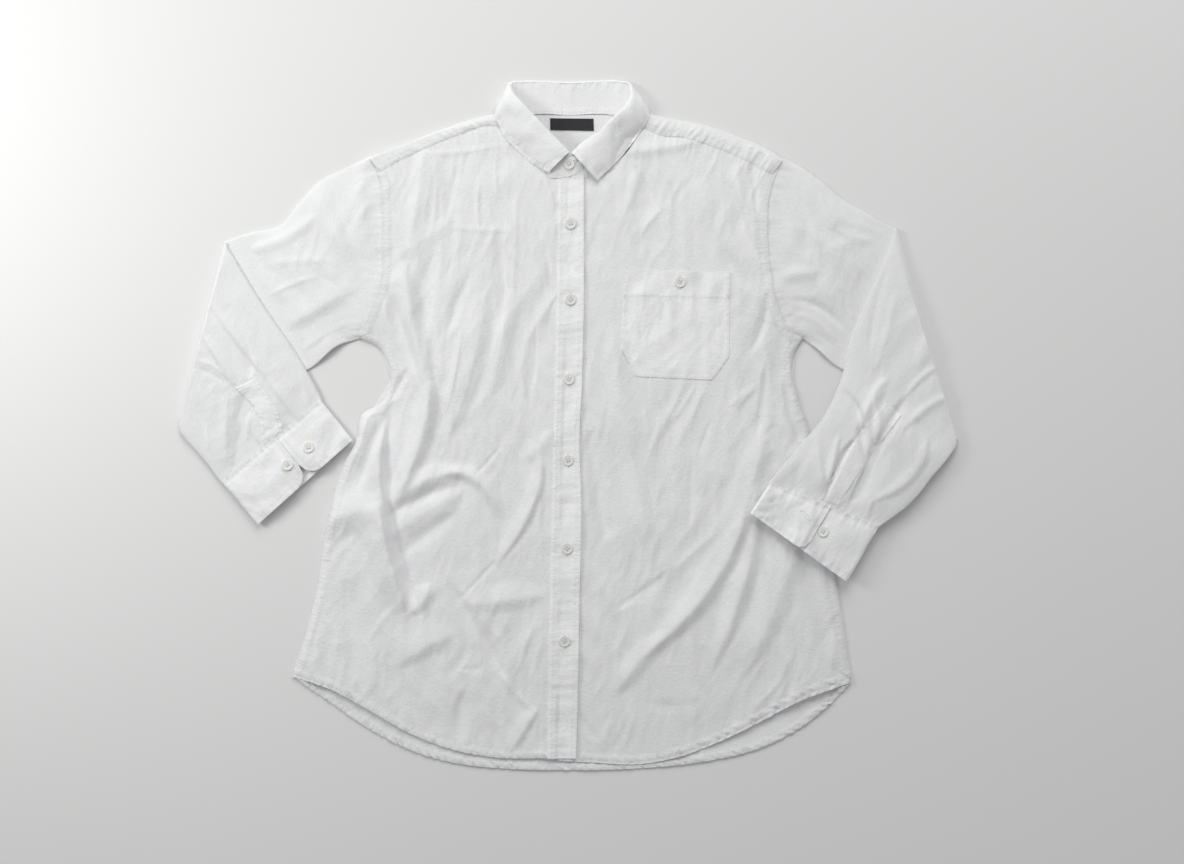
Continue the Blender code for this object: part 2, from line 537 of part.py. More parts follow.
def make_sleeve(name, armhole, upper, lower, upper_swell, lower_level, folds, outwards_sign, cotton):
    """A flat tube from the armhole to the fold, over it, and back to the cuff on top."""
    share = np.linspace(0, 1, len(armhole))[:, None]
    bulge = np.sin(math.pi * share[:, 0]) ** BULGE
    floor = np.full(len(armhole), CLOTH / 2)
    ends = [(np.array([s.ux, s.uy]), np.array([s.lx, s.ly])) for s in (*upper, *lower)]
    lines = [outer * (1 - share) + underarm * share for outer, underarm in ends]
    upper_lines, lower_lines = [armhole, *lines[: len(upper) - 1]], lines[len(upper) + 1 :]
    rings = []
    for plan in upper_lines:
        top = floor + PINCH + upper_swell(*plan.T) * bulge
        rings.append(tube_ring(np.column_stack([plan, floor]), np.column_stack([plan, top])))

    outline = lines[len(upper)]
    across = outline[-1] - outline[0]
    outwards = np.array([across[1], -across[0]]) / np.linalg.norm(across) * outwards_sign
    inner_low, inner_top = floor + PINCH, lower_level(*outline.T)
    inner_radius, outer_radius = (inner_top - inner_low) / 2, (inner_top + PINCH - floor) / 2
    axis = outline - outwards * (outer_radius + CLOTH / 2)[:, None]
    for a in np.radians((-90, -45, 0, 45, 90)):
        layers = []
        for low, radius in ((floor, outer_radius), (inner_low, inner_radius)):
            plan = axis + outwards * (radius * math.cos(a))[:, None]
            layers.append(np.column_stack([plan, low + radius * (1 + math.sin(a))]))
        rings.append(tube_ring(*layers))

    for plan in lower_lines:
        low = lower_level(*plan.T)
        swell = np.maximum(FOREARM_SWELL + fold_height(*plan.T, folds), 0) * bulge
        rings.append(tube_ring(np.column_stack([plan, low + PINCH + swell]), np.column_stack([plan, low])))
    return soft_wall(name, np.array(rings), CLOTH, cotton, ring=True)


def upper_swell(x, y, clear, folds):
    """How far an upper arm's two layers swell apart, and hardly at all under the lower arm."""
    swell = UPPER_SWELL * (1 - ramp(clear, *UPPER_SWELL_REACH))
    creases = fold_height(x, y, folds) * (1 - ramp(clear, *UPPER_FOLD_REACH))
    return np.maximum(swell + creases, LEAST_SWELL)


def left_upper_swell(x, y):
    return upper_swell(x, y, past_line(x, y, *INNER_EDGE_LEFT), SLEEVE_FOLDS_LEFT)


def right_upper_swell(x, y):
    return upper_swell(x, y, past_line(x, y, *INNER_EDGE_RIGHT), SLEEVE_FOLDS_RIGHT)


def left_lower_level(x, y):
    beyond = past_line(x, y, *UNDERARM_LEFT)
    return FREE_LEVEL + (FOLDED_LEVEL - FREE_LEVEL) * ramp(beyond, *STEP_DOWN)


def right_lower_level(x, y, body):
    """The right lower arm lies on its upper arm, then on the front, and bridges the step beside them."""
    beyond = past_line(x, y, *UNDERARM_RIGHT)
    level = FREE_LEVEL + (FOLDED_LEVEL - FREE_LEVEL) * ramp(beyond, *STEP_DOWN)
    off_body = past_line(x, y, *BODY_EDGE_RIGHT)
    level = level + (BODY_LEVEL - level) * ramp(off_body, *ONTO_BODY) * ramp(-beyond, *BESIDE_ARM)
    on_front = [body.reach(a, b, SLEEVE_FEEL) for a, b in zip(np.atleast_1d(x), np.atleast_1d(y))]
    return np.maximum(level, np.array(on_front) + OVER_BODY)


def make_slit_band(name, strips, sleeve, cotton):
    left = smooth_line([(s.lx, s.ly) for s in strips[::-1]], 10)
    right = smooth_line([(s.rx, s.ry) for s in strips[::-1]], 10)
    share = np.linspace(0, 1, 4)[None, :, None]
    plan = left[:, None] * (1 - share) + right[:, None] * share
    return laid_panel(name, plan, Surface(sleeve).under(plan, SLIT_BAND_FEEL) + LAY, CLOTH, cotton)


def make_cuff(name, cuff, level, cotton):
    """One strip: from its upper end at the slit round both folds, to its lower end at the slit."""
    seam_0, seam_1, edge_0, edge_1 = (np.array(p, float) for p in cuff[:4])
    length = np.linalg.norm(seam_1 - seam_0)
    depth = np.linalg.norm(edge_0 + edge_1 - seam_0 - seam_1) / 2
    upper_end = cuff.slit + cuff.over
    lower_end = cuff.slit - min(cuff.over, 0)
    near, far = 0.02, 0.98
    lap = OVERLAP if cuff.over > 0 else 0.0
    columns = [(a, 90, upper_end - a, lap) for a in np.linspace(upper_end, near, 6)]
    columns += [(0.0, a, 1.0, 0.0) for a in (45, 0, -45)]
    columns += [(a, -90, 1.0, 0.0) for a in np.linspace(near, far, 8)]
    columns += [(1.0, a, 1.0, 0.0) for a in (-45, 0, 45)]
    columns += [(a, 90, a - lower_end, 0.0) for a in np.linspace(far, lower_end, 6)]
    grid = []
    for along, angle, to_end, lap in columns:
        short_of_round = max(cuff.corner - to_end * length, 0.0)
        cut = (cuff.corner - math.sqrt(cuff.corner**2 - short_of_round**2)) / depth
        opened = PINCH + CUFF_SWELL * math.sin(math.pi * min(max(along, near), far)) ** BULGE
        lift = opened * (1 + math.sin(math.radians(angle))) / 2 + lap * float(ramp(to_end, *CUFF_LAP_REACH))
        share = np.linspace(0, 1 - cut, 5)[:, None]
        seam, edge = seam_0 + (seam_1 - seam_0) * along, edge_0 + (edge_1 - edge_0) * along
        plan = seam * (1 - share) + edge * share
        grid.append(np.column_stack([plan, level(*plan.T) + CUFF_GAP + lift]))
    return soft_wall(name, np.array(grid), BAND, cotton)


def collar_seam_height(x, y, over):
    if y > BACK_NECK_Y:
        return BACK_STAND_Z
    return float(front_underside(x, y, ())) + CLOTH / 2 + over


def make_stand(cotton):
    """A band round the neck, from the neck seam up to the roll, its left end over its right one."""
    lines = []
    for number, r in enumerate(COLLAR):
        over = OVERLAP * float(ramp(number, 0, 3))
        seam = r.seam_x, r.seam_y, collar_seam_height(r.seam_x, r.seam_y, over)
        lines.append((*seam, r.roll_x, r.roll_y, r.roll_z))
    for ends, place, over in ((STAND_END_LEFT, 0, OVERLAP), (STAND_END_RIGHT, len(lines) + 1, 0)):
        (seam_x, seam_y), (top_x, top_y, drop) = ends
        top_z = COLLAR[min(place, len(COLLAR) - 1)].roll_z - drop
        lines.insert(place, (seam_x, seam_y, collar_seam_height(seam_x, seam_y, over), top_x, top_y, top_z))
    lines = smooth_line(lines, 38)
    share = np.linspace(0, 1, 4)[None, :, None]
    grid = lines[:, None, :3] * (1 - share) + lines[:, None, 3:] * share
    return soft_wall("collar_stand", grid, BAND, cotton)


def make_leaf(body, cotton):
    """It starts at the stand's top edge, turns over the stand's outer side and falls to its edge."""
    lines = []
    for r in COLLAR:
        seam = r.seam_x, r.seam_y, collar_seam_height(r.seam_x, r.seam_y, 0)
        rest = body.reach(r.edge_x, r.edge_y, LEAF_FEEL) + LAY if r.over else 0.0
        lines.append((*seam, r.roll_x, r.roll_y, r.roll_z, r.edge_x, r.edge_y, rest + BAND / 2, r.over))
    lines = smooth_line(lines, 36)
    seam, roll, edge, over = lines[:, :3], lines[:, 3:6], lines[:, 6:9], np.clip(lines[:, 9:], 0, 1)
    edge[:, 2] = np.maximum(edge[:, 2], BAND / 2)
    rise = roll - seam
    rise /= np.linalg.norm(rise, axis=1)[:, None]
    outer = np.cross(rise, np.gradient(roll, axis=0))
    outer /= np.linalg.norm(outer, axis=1)[:, None]
    first = roll + LEAF_START * rise
    rows = [first, first + LEAF_TURN * (rise + outer)]
    start = first + 2 * LEAF_TURN * outer
    for t in np.linspace(0, 1, 5):
        lift = np.array([0, 0, 1.0]) * over * LEAF_BOW * math.sin(math.pi * t)
        rows.append(start * (1 - t) + edge * t + lift)
    grid = np.array(rows).transpose(1, 0, 2)
    grid[..., 2] = np.maximum(grid[..., 2], BAND / 2)
    return soft_wall("collar_leaf", grid, BAND, cotton)


def make_button(name, place, surface, shell):
    """A turned disc with a raised rim, seated on the slope of the cloth below it."""
    x, y = place
    radius = BUTTON_WIDTH / 2
    angles = np.arange(12) * math.pi / 6
    spots = [(r * math.cos(a), r * math.sin(a)) for r in (0, radius / 2, radius) for a in angles]
    slope_x = (surface.top(x + radius, y) - surface.top(x - radius, y)) / BUTTON_WIDTH
    slope_y = (surface.top(x, y + radius) - surface.top(x, y - radius)) / BUTTON_WIDTH
    seat = max(surface.top(x + a, y + b) - slope_x * a - slope_y * b for a, b in spots) + SEAM
    sides = BUTTON_SIDES
    points, faces = [], []
    for r, z in BUTTON_PROFILE:
        for k in range(sides if r else 1):
            dx, dy = r * math.cos(2 * math.pi * k / sides), r * math.sin(2 * math.pi * k / sides)
            height = seat + slope_x * dx + slope_y * dy + z
            points.append((x + dx - slope_x * z, y + dy - slope_y * z, height))
    rings = [1 + sides * k for k in range(len(BUTTON_PROFILE) - 2)]
    top = len(points) - 1
    for k in range(sides):
        n = (k + 1) % sides
        faces.append((0, rings[0] + n, rings[0] + k))
        faces += [(a + k, a + n, b + n, b + k) for a, b in zip(rings, rings[1:])]
        faces.append((top, rings[-1] + k, rings[-1] + n))
    return add_object(name, points, faces, shell)


def make_shirt():
    cotton = cloth_material("white cotton", (0.86, 0.86, 0.85), 0.85)
    black = cloth_material("black woven label", (0.015, 0.015, 0.02), 0.7)
    shell = cloth_material("pale button", (0.80, 0.79, 0.72), 0.3)
    make_back(cotton)
    yoke = make_yoke(cotton)
    front_left, front_right = make_fronts(cotton)
    placket = make_placket(cotton)
    pocket = make_pocket(front_right, cotton)
    make_label(yoke, black)

    right_body = Surface(front_right)

    def right_level(x, y):
        return right_lower_level(x, y, right_body)

    left_arm = smooth_line(ARMHOLE_LEFT, ARMHOLE_POINTS)[::-1] - (ARMHOLE_GAP, 0)
    sleeve_left = make_sleeve(
        "sleeve_left", left_arm, UPPER_LEFT, LOWER_LEFT, left_upper_swell, left_lower_level,
        FOREARM_FOLDS_LEFT, 1, cotton,
    )
    right_arm = smooth_line(ARMHOLE_RIGHT, ARMHOLE_POINTS)[::-1] + (ARMHOLE_GAP, 0)
    sleeve_right = make_sleeve(
        "sleeve_right", right_arm, UPPER_RIGHT, LOWER_RIGHT, right_upper_swell, right_level,
        FOREARM_FOLDS_RIGHT, -1, cotton,
    )
    make_slit_band("sleeve_placket_left", SLIT_BAND_LEFT, sleeve_left, cotton)
    make_slit_band("sleeve_placket_right", SLIT_BAND_RIGHT, sleeve_right, cotton)
    cuff_left = make_cuff("cuff_left", CUFF_LEFT, left_lower_level, cotton)
    cuff_right = make_cuff("cuff_right", CUFF_RIGHT, right_level, cotton)
    stand = make_stand(cotton)
    make_leaf(Surface(front_right, front_left, yoke, placket), cotton)

    make_button("button_stand", STAND_BUTTON, Surface(stand), shell)
    for number, place in enumerate(FRONT_BUTTONS, 1):
        make_button(f"button_front_{number}", place, Surface(placket), shell)
    make_button("button_pocket", POCKET_BUTTON, Surface(pocket), shell)
    for number, place in enumerate(CUFF_BUTTONS_LEFT, 1):
        make_button(f"button_cuff_left_{number}", place, Surface(cuff_left), shell)
    make_button("button_cuff_right", CUFF_BUTTON_RIGHT, Surface(cuff_right), shell)


clear_scene()
make_shirt()
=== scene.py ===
"""A man's white cotton shirt, buttoned to the neck and laid flat on its back, with both sleeves
folded back at the elbow and both cuffs open.

Sizes and places are in millimetres, seen from straight above: x to the right, y towards the
collar, z up from the table. Left and right are the viewer's. MM turns them into metres.
"""
import math
from collections import namedtuple

import bpy
import numpy as np
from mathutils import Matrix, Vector
from mathutils.bvhtree import BVHTree
from mathutils.kdtree import KDTree


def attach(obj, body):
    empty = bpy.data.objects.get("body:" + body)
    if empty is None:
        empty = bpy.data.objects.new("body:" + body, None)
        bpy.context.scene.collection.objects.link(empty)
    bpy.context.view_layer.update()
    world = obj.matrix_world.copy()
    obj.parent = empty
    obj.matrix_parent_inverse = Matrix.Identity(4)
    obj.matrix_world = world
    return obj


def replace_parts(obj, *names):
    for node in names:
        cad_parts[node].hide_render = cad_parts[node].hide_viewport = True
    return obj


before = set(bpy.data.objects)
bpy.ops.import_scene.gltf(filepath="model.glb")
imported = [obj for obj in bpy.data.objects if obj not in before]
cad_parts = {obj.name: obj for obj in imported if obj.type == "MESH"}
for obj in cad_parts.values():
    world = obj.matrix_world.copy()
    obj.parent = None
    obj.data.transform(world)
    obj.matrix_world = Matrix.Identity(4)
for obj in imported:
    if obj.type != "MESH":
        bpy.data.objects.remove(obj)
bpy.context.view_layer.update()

# The table, the light and the camera.
# The shirt lies on a smooth pale table. A tall window beyond the collar and a low lamp at the
# left light it, and the white room fills the shadows. The camera looks straight down.
MM = 0.001
TABLE_SIZE, TABLE_DROP = 7000.0, 0.2  # its top lies just under the cloth
TABLE_PALE, TABLE_PALER = (0.795, 0.795, 0.785), (0.815, 0.815, 0.805)
ROOM_COLOUR, ROOM_STRENGTH = (0.985, 0.99, 1.0), 0.375
VIEW_WIDTH = 1361.6  # of the table, across the picture
VIEW_MIDDLE = (25.3, -7.5)
LENS, SENSOR = 58.0, 36.0

bpy.ops.mesh.primitive_plane_add(size=TABLE_SIZE * MM, location=(0, 0, -TABLE_DROP * MM))
table = bpy.context.object
table.name = "table"

camera = bpy.data.objects.new("camera", bpy.data.cameras.new("camera"))
bpy.context.collection.objects.link(camera)
camera.data.lens, camera.data.sensor_width = LENS, SENSOR
camera.location = (VIEW_MIDDLE[0] * MM, VIEW_MIDDLE[1] * MM, VIEW_WIDTH * MM * LENS / SENSOR)
bpy.context.scene.camera = camera


def area_light(name, place, aim, size, power):
    """A square lamp: its place, aim and size in metres and its power in watts."""
    light = bpy.data.lights.new(name, "AREA")
    light.size, light.energy = size, power
    lamp = bpy.data.objects.new(name, light)
    bpy.context.collection.objects.link(lamp)
    lamp.location = place
    lamp.rotation_euler = (Vector(aim) - Vector(place)).to_track_quat("-Z", "Y").to_euler()


area_light("window", place=(0.20, 2.25, 1.75), aim=(0.04, 0.14, 0), size=1.8, power=41.0)
area_light("lamp", place=(-1.12, 0.42, 0.74), aim=(0.06, 0.12, 0), size=0.42, power=5.7)
world = bpy.data.worlds.new("room")
bpy.context.scene.world = world
world.use_nodes = True
world.node_tree.nodes["Background"].inputs["Color"].default_value = (*ROOM_COLOUR, 1)
world.node_tree.nodes["Background"].inputs["Strength"].default_value = ROOM_STRENGTH
bpy.context.scene.view_settings.view_transform = "Standard"


class Shade:
    """A socket of a material, on which Python's operators add Math nodes."""

    def __init__(self, tree, socket):
        self.tree, self.socket = tree, socket

    def node(self, kind, settings=None, sockets=None, output=0):
        """Adds a node of a type: its settings are set first, then the values or links of its sockets."""
        node = self.tree.nodes.new(kind)
        for key, value in (settings or {}).items():
            setattr(node, key, value)
        for key, value in (sockets or {}).items():
            if isinstance(value, Shade):
                self.tree.links.new(value.socket, node.inputs[key])
            else:
                node.inputs[key].default_value = value
        return Shade(self.tree, node.outputs[output])

    def math(self, operation, *others, clamp=False):
        settings = {"operation": operation, "use_clamp": clamp}
        return self.node("ShaderNodeMath", settings, dict(enumerate((self, *others))))

    def __add__(self, other):
        return self.math("ADD", other)

    def __mul__(self, other):
        return self.math("MULTIPLY", other)

    def __sub__(self, other):
        return self.math("SUBTRACT", other)

    def __rsub__(self, other):
        return (self * -1) + other

    __radd__, __rmul__ = __add__, __mul__


def new_material(name, roughness):
    material = bpy.data.materials.new(name)
    material.use_nodes = True
    tree = material.node_tree
    shader = tree.nodes["Principled BSDF"]
    shader.inputs["Roughness"].default_value = roughness
    return material, Shade(tree, None), shader


def link(shade, shader, name):
    shade.tree.links.new(shade.socket, shader.inputs[name])


def mixed(share, first, second):
    """A colour between two, of which the first may itself be worked out by nodes."""
    first = first if isinstance(first, Shade) else (*first, 1)
    return share.node("ShaderNodeMix", {"data_type": "RGBA"}, {"Factor": share, 6: first, 7: (*second, 1)}, 2)


def table_material():
    material, make, shader = new_material("pale table", 0.55)
    place = make.node("ShaderNodeTexCoord", output="Object")
    cloud = make.node("ShaderNodeTexNoise", {}, {"Vector": place, "Scale": 3.0, "Detail": 3.0})
    link(mixed(cloud, TABLE_PALE, TABLE_PALER), shader, "Base Color")
    return material


table.data.materials.append(table_material())

# The back panel.
# One piece of plain-weave white shirting, washed soft, from the hidden yoke seam down to its curved
# hem, which shows below the fronts. It lies flat on the table, and its narrow rolled hem puckers.
SIDE_LEFT = (
    (-319, -288), (-304, -241), (-290, -183), (-283, -137), (-274, -91), (-259, -43), (-246, -17),
    (-238, 14), (-218, 25), (-208, 38), (-209, 70), (-218, 88), (-243, 101),
)
ARMHOLE_LEFT = (
    (-243, 101), (-228, 133), (-217, 167), (-215, 213), (-216, 259), (-218, 282), (-230, 308),
)
SIDE_RIGHT = (
    (323, -295), (314, -229), (306, -180), (299, -143), (291, -97), (283, -51), (275, -10),
    (261, 34), (255, 61), (258, 82), (268, 101),
)
ARMHOLE_RIGHT = (
    (268, 101), (250, 111), (238, 136), (229, 180), (226, 225), (230, 270), (244, 306),
)
HEM_BACK = (
    (-319, -288), (-276, -318), (-230, -349), (-184, -373), (-138, -387), (-80, -394), (0, -396),
    (80, -394), (149, -387), (218, -371), (264, -348), (299, -320), (323, -295),
)
YOKE_BACK_Y = 255.0
BACK_ROWS, BACK_COLS = 31, 361
BACK_SIDE_POINTS, BACK_ARMHOLE_POINTS = 60, 40
BACK_LIFT, BACK_WAVE = 0.2, 0.3  # how far it stands off the table, and rises here and there
BACK_HEM_LIFT, BACK_HEM_REACH = 0.6, 20  # what its hem stands up more, and from how far in
NEAR_HEM = 0.075  # share of the panel's height that takes half of its rows
HEM = 7.5  # width of the rolled hem
CLOTH = 0.6  # thickness of the single cloth
WEAVE = 0.42  # from thread to thread
STITCH, THREAD = 3.0, 0.42  # length of a stitch with its gap, and thickness of the thread
EDGE_ROW, OUTER_ROW = 1.2, 7.5  # where the seam map places a seam's two rows of stitches
SLUB_ALONG, SLUB_ACROSS = 55.0, 700.0  # slubs in a metre, along a thread and across it
WEAVE_DEPTH, SLUB_DEPTH, GRAIN_DEPTH = 0.03, 0.12, 0.75  # of the finest relief
THREAD_PROUD, ROW_SUNK, PUCKER_DEPTH = 0.10, 0.08, 0.7  # of the relief along a seam
COTTON, COTTON_THIN = (0.895, 0.895, 0.898), (0.862, 0.864, 0.870)
# painted shade: the darker colour that the cloth takes along its sunk rows of stitches
COTTON_SEAM_SHADE = (0.66, 0.66, 0.67)


def cloth_maps(make):
    """The cloth's flat map in metres, as a vector and in its two parts, and how far along a seam and
    away from it each point is, in millimetres."""
    uv, seam = [make.node("ShaderNodeUVMap", {"uv_map": name}) for name in ("cloth", "seam")]
    u, v = [make.node("ShaderNodeSeparateXYZ", {}, {"Vector": uv}, output=axis) for axis in "XY"]
    along, away = [make.node("ShaderNodeSeparateXYZ", {}, {"Vector": seam}, output=axis) for axis in "XY"]
    return uv, u, v, along * (1 / MM), away * (1 / MM)


def woven(u, v, step_u, step_v):
    """Crossing threads, so far from one to the next."""
    turn_u, turn_v = 2 * math.pi / (step_u * MM), 2 * math.pi / (step_v * MM)
    return (u * turn_u).math("SINE") * (v * turn_v).math("SINE")


def bump(height, shader, depth=1.0, strength=1.0):
    """Relief too fine for the mesh, in millimetres times depth."""
    sockets = {"Height": height, "Distance": depth * MM, "Strength": strength}
    link(height.node("ShaderNodeBump", {}, sockets), shader, "Normal")


def cotton_material(name, crease, white, thin):
    """crease is how deep the fine creases are, in millimetres, and thin the colour between slubs."""
    material, make, shader = new_material(name, 0.85)
    shader.inputs["Sheen Weight"].default_value = 0.10
    shader.inputs["Sheen Roughness"].default_value = 0.5
    shader.inputs["Specular IOR Level"].default_value = 0.2
    uv, u, v, along, away = cloth_maps(make)

    def slubs(stretch):
        drawn = make.node("ShaderNodeMapping", {}, {"Vector": uv, "Scale": stretch})
        return make.node("ShaderNodeTexNoise", {}, {"Vector": drawn, "Scale": 1.0, "Detail": 2.0})

    slub = slubs((SLUB_ALONG, SLUB_ACROSS, 1.0)) + slubs((SLUB_ACROSS, SLUB_ALONG, 1.0))
    grain = make.node(
        "ShaderNodeTexNoise", {}, {"Vector": uv, "Scale": 300.0, "Detail": 3.0, "Roughness": 0.75}
    )
    place = make.node("ShaderNodeTexCoord", output="Object")
    soft = make.node(
        "ShaderNodeTexNoise",
        {"noise_type": "RIDGED_MULTIFRACTAL", "normalize": True},
        {"Vector": place, "Scale": 34.0, "Detail": 3.0, "Roughness": 0.6, "Distortion": 0.8},
    )
    off = (away - EDGE_ROW).math("ABSOLUTE").math("MINIMUM", (away - OUTER_ROW).math("ABSOLUTE"))
    thread = (1.25 - off * (1 / THREAD)).math("MULTIPLY", 1.5, clamp=True)
    gap = ((along * (1 / STITCH)).math("FRACT") - 0.5).math("ABSOLUTE")
    thread = thread * (0.42 - gap).math("MULTIPLY", 14.0, clamp=True)
    sunk = (1.0 - off * 0.6).math("MULTIPLY", 1.0, clamp=True)
    puckered = make.node("ShaderNodeCombineXYZ", {}, {"X": along * 0.40, "Y": away * 0.10})
    pucker = make.node("ShaderNodeTexNoise", {}, {"Vector": puckered, "Scale": 1.0, "Detail": 1.5})
    near_seam = (1.35 - away * (1 / 13.0)).math("MULTIPLY", 1.0, clamp=True)
    height = woven(u, v, WEAVE, WEAVE) * WEAVE_DEPTH + slub * SLUB_DEPTH + soft * crease + grain * GRAIN_DEPTH
    height = height + thread * THREAD_PROUD - sunk * ROW_SUNK + pucker * near_seam * PUCKER_DEPTH
    bump(height, shader)
    colour = mixed((slub * 0.9).math("SUBTRACT", 0.4, clamp=True), white, thin)
    # Painted shade: the cloth is darkened along its sunk rows of stitches, but not on the thread itself, in
    # place of the shade in a seam's groove.
    shade = (sunk - thread).math("MULTIPLY", 0.20, clamp=True)
    link(mixed(shade, colour, COTTON_SEAM_SHADE), shader, "Base Color")
    return material


cotton = cotton_material("white cotton", 0.40, COTTON, COTTON_THIN)


def smooth_line(points, count):
    """A smooth curve through the points, as count points evenly spaced along it."""
    p = np.array(points, float)
    knots = np.concatenate([[0.0], np.cumsum(np.linalg.norm(np.diff(p, axis=0), axis=1))])
    slopes = np.gradient(p, knots, axis=0)
    fine = np.linspace(0.0, knots[-1], 40 * len(p) + 4 * count)
    i = np.clip(np.searchsorted(knots, fine, side="right") - 1, 0, len(p) - 2)
    step = (knots[i + 1] - knots[i])[:, None]
    t = (fine - knots[i])[:, None] / step
    line = (
        (2 * t**3 - 3 * t**2 + 1) * p[i]
        + (t**3 - 2 * t**2 + t) * step * slopes[i]
        + (3 * t**2 - 2 * t**3) * p[i + 1]
        + (t**3 - t**2) * step * slopes[i + 1]
    )
    run = np.concatenate([[0.0], np.cumsum(np.linalg.norm(np.diff(line, axis=0), axis=1))])
    at = np.linspace(0.0, run[-1], count)
    return np.stack([np.interp(at, run, line[:, k]) for k in range(line.shape[1])], axis=1)


def joined(*runs):
    """Runs that meet end to end, as one line without the doubled points."""
    return np.concatenate([runs[0]] + [run[1:] for run in runs[1:]])


def between(first, last, shares):
    """Rows of points that cross from one line to another."""
    return first[:, None] * (1 - shares) + last[:, None] * shares


def ramp(distance, near, far):
    """1 up to near, 0 from far on, and smooth between."""
    t = np.clip((np.asarray(distance, float) - near) / (far - near), 0, 1)
    return 1 - t * t * (3 - 2 * t)


def groove(distance, place, width=1.0):
    """1 at the place, fading off at either side of it."""
    return np.exp(-(((distance - place) / width) ** 2))


def tent(across):
    """A fold's section: a rounded crest between two nearly straight slopes, 1 high and 1 half wide."""
    slope = 1.17 - np.sqrt(across**2 + 0.05)
    return 0.5 * (slope + np.sqrt(slope**2 + 0.06))


def noise(x, y, seed):
    """Smooth noise over the plan, about -1 to 1, that changes over a length of 1."""
    angle = np.random.default_rng(seed).random((64, 64)) * 2 * math.pi
    i, j = np.floor(x).astype(int), np.floor(y).astype(int)
    u, v = x - i, y - j

    def corner(di, dj):
        a = angle[(i + di) % 64, (j + dj) % 64]
        return np.cos(a) * (u - di) + np.sin(a) * (v - dj)

    su, sv = u * u * (3 - 2 * u), v * v * (3 - 2 * v)
    low = corner(0, 0) * (1 - su) + corner(1, 0) * su
    high = corner(0, 1) * (1 - su) + corner(1, 1) * su
    return 1.4 * (low * (1 - sv) + high * sv)


def gathers(along, away, seed, spacing, reach, rise, slant=0.0):
    """Small pleats that run out from a seam, as uneven in place, length and height as hand sewing."""
    draw = np.random.default_rng(seed)
    total = np.zeros(np.shape(along))
    last = float(np.max(along)) + spacing
    place = float(np.min(along)) - spacing
    while place < last:
        place += spacing * (0.45 + 1.1 * draw.random())
        length = reach * (0.25 + 0.75 * draw.random() ** 1.6)
        wide = 1.3 + 1.5 * draw.random()
        lean = slant + 0.35 * (draw.random() - 0.5)
        high = rise * (0.35 + 0.65 * draw.random()) * (1 if draw.random() < 0.6 else -0.8)
        near = (np.abs(along - place) < 3 * wide + 0.6 * length) & (away < length)
        across = np.abs(along[near] - place - lean * away[near])
        spread = wide * (0.7 + 0.8 * away[near] / length)
        total[near] += high * tent(across / spread) * ramp(away[near], 0.1 * length, length)
    return total


class Seam:
    """A line on the plan, to measure how far from it and how far along it other points are."""

    def __init__(self, line):
        length = np.linalg.norm(np.diff(line, axis=0), axis=1).sum()
        self.line = np.asarray(line, float) if len(line) > 40 else smooth_line(line, int(length) + 2)
        run = np.cumsum(np.linalg.norm(np.diff(self.line, axis=0), axis=1))
        self.run = np.concatenate([[0.0], run])
        self.tree = KDTree(len(self.line))
        for number, (x, y) in enumerate(self.line):
            self.tree.insert((x, y, 0), number)
        self.tree.balance()

    def measure(self, x, y):
        shape = np.shape(x)
        x, y = np.ravel(x), np.ravel(y)
        best = np.array([self.tree.find((a, b, 0))[1] for a, b in zip(x, y)])
        step = np.gradient(self.line, axis=0)[best]
        off_x, off_y = x - self.line[best, 0], y - self.line[best, 1]
        size = np.hypot(*step.T) + 1e-9
        past = (off_x * step[:, 0] + off_y * step[:, 1]) / size
        past = np.clip(past, -0.7, 0.7)
        off = np.hypot(off_x - past * step[:, 0] / size, off_y - past * step[:, 1] / size)
        return off.reshape(shape), (self.run[best] + past).reshape(shape)


def seam_rows(away, width, rows):
    """The distance from a seam for the seam map. A seam has one row of stitches that wide off, and
    one beside it where rows is 2. Where rows is 0, it has one along itself."""
    if not rows:
        return OUTER_ROW + away
    start = 0.0 if rows == 2 else 2 * EDGE_ROW
    return start + away * (OUTER_ROW - start) / width


def seam_map(x, y, *seams):
    """How far along and away the nearest seam is. Each is a Seam, its width and its rows."""
    near = np.full(np.shape(x), 1e9)
    along, away = np.zeros(np.shape(x)), np.full(np.shape(x), 1e9)
    for seam, width, rows in seams:
        off, on = seam.measure(x, y)
        closer = off < near
        near[closer], along[closer] = off[closer], on[closer]
        away[closer] = seam_rows(off, width, rows)[closer]
    return along, away


def add_mesh(name, points, faces, uv, seam, material):
    """A mesh with a flat map of its cloth for the weave, and a map of its seams, both in metres."""
    mesh = bpy.data.meshes.new(name)
    mesh.from_pydata((np.asarray(points, float) * MM).tolist(), [], faces)
    corner = np.empty(len(mesh.loops), np.int32)
    mesh.loops.foreach_get("vertex_index", corner)
    for layer_name, values in (("cloth", uv), ("seam", seam)):
        layer = mesh.uv_layers.new(name=layer_name)
        layer.data.foreach_set("uv", (np.asarray(values, float) * MM)[corner].ravel())
    mesh.materials.append(material)
    thing = bpy.data.objects.new(name, mesh)
    bpy.context.collection.objects.link(thing)
    return thing


def smooth_faces(thing):
    """Soft folds and crisp edges."""
    bpy.ops.object.select_all(action="DESELECT")
    thing.select_set(True)
    bpy.context.view_layer.objects.active = thing
    bpy.ops.object.shade_smooth_by_angle(angle=math.radians(50))


def grid_faces(rows, cols, ring=False, start=0):
    """The squares of a grid of points, whose rows may be closed rings."""
    wrap = cols if ring else cols - 1
    r, c = np.meshgrid(np.arange(rows - 1), np.arange(wrap), indexing="ij")
    right = (c + 1) % cols
    corners = (r * cols + c, r * cols + right, (r + 1) * cols + right, (r + 1) * cols + c)
    return (np.stack(corners, -1).reshape(-1, 4) + start).tolist()


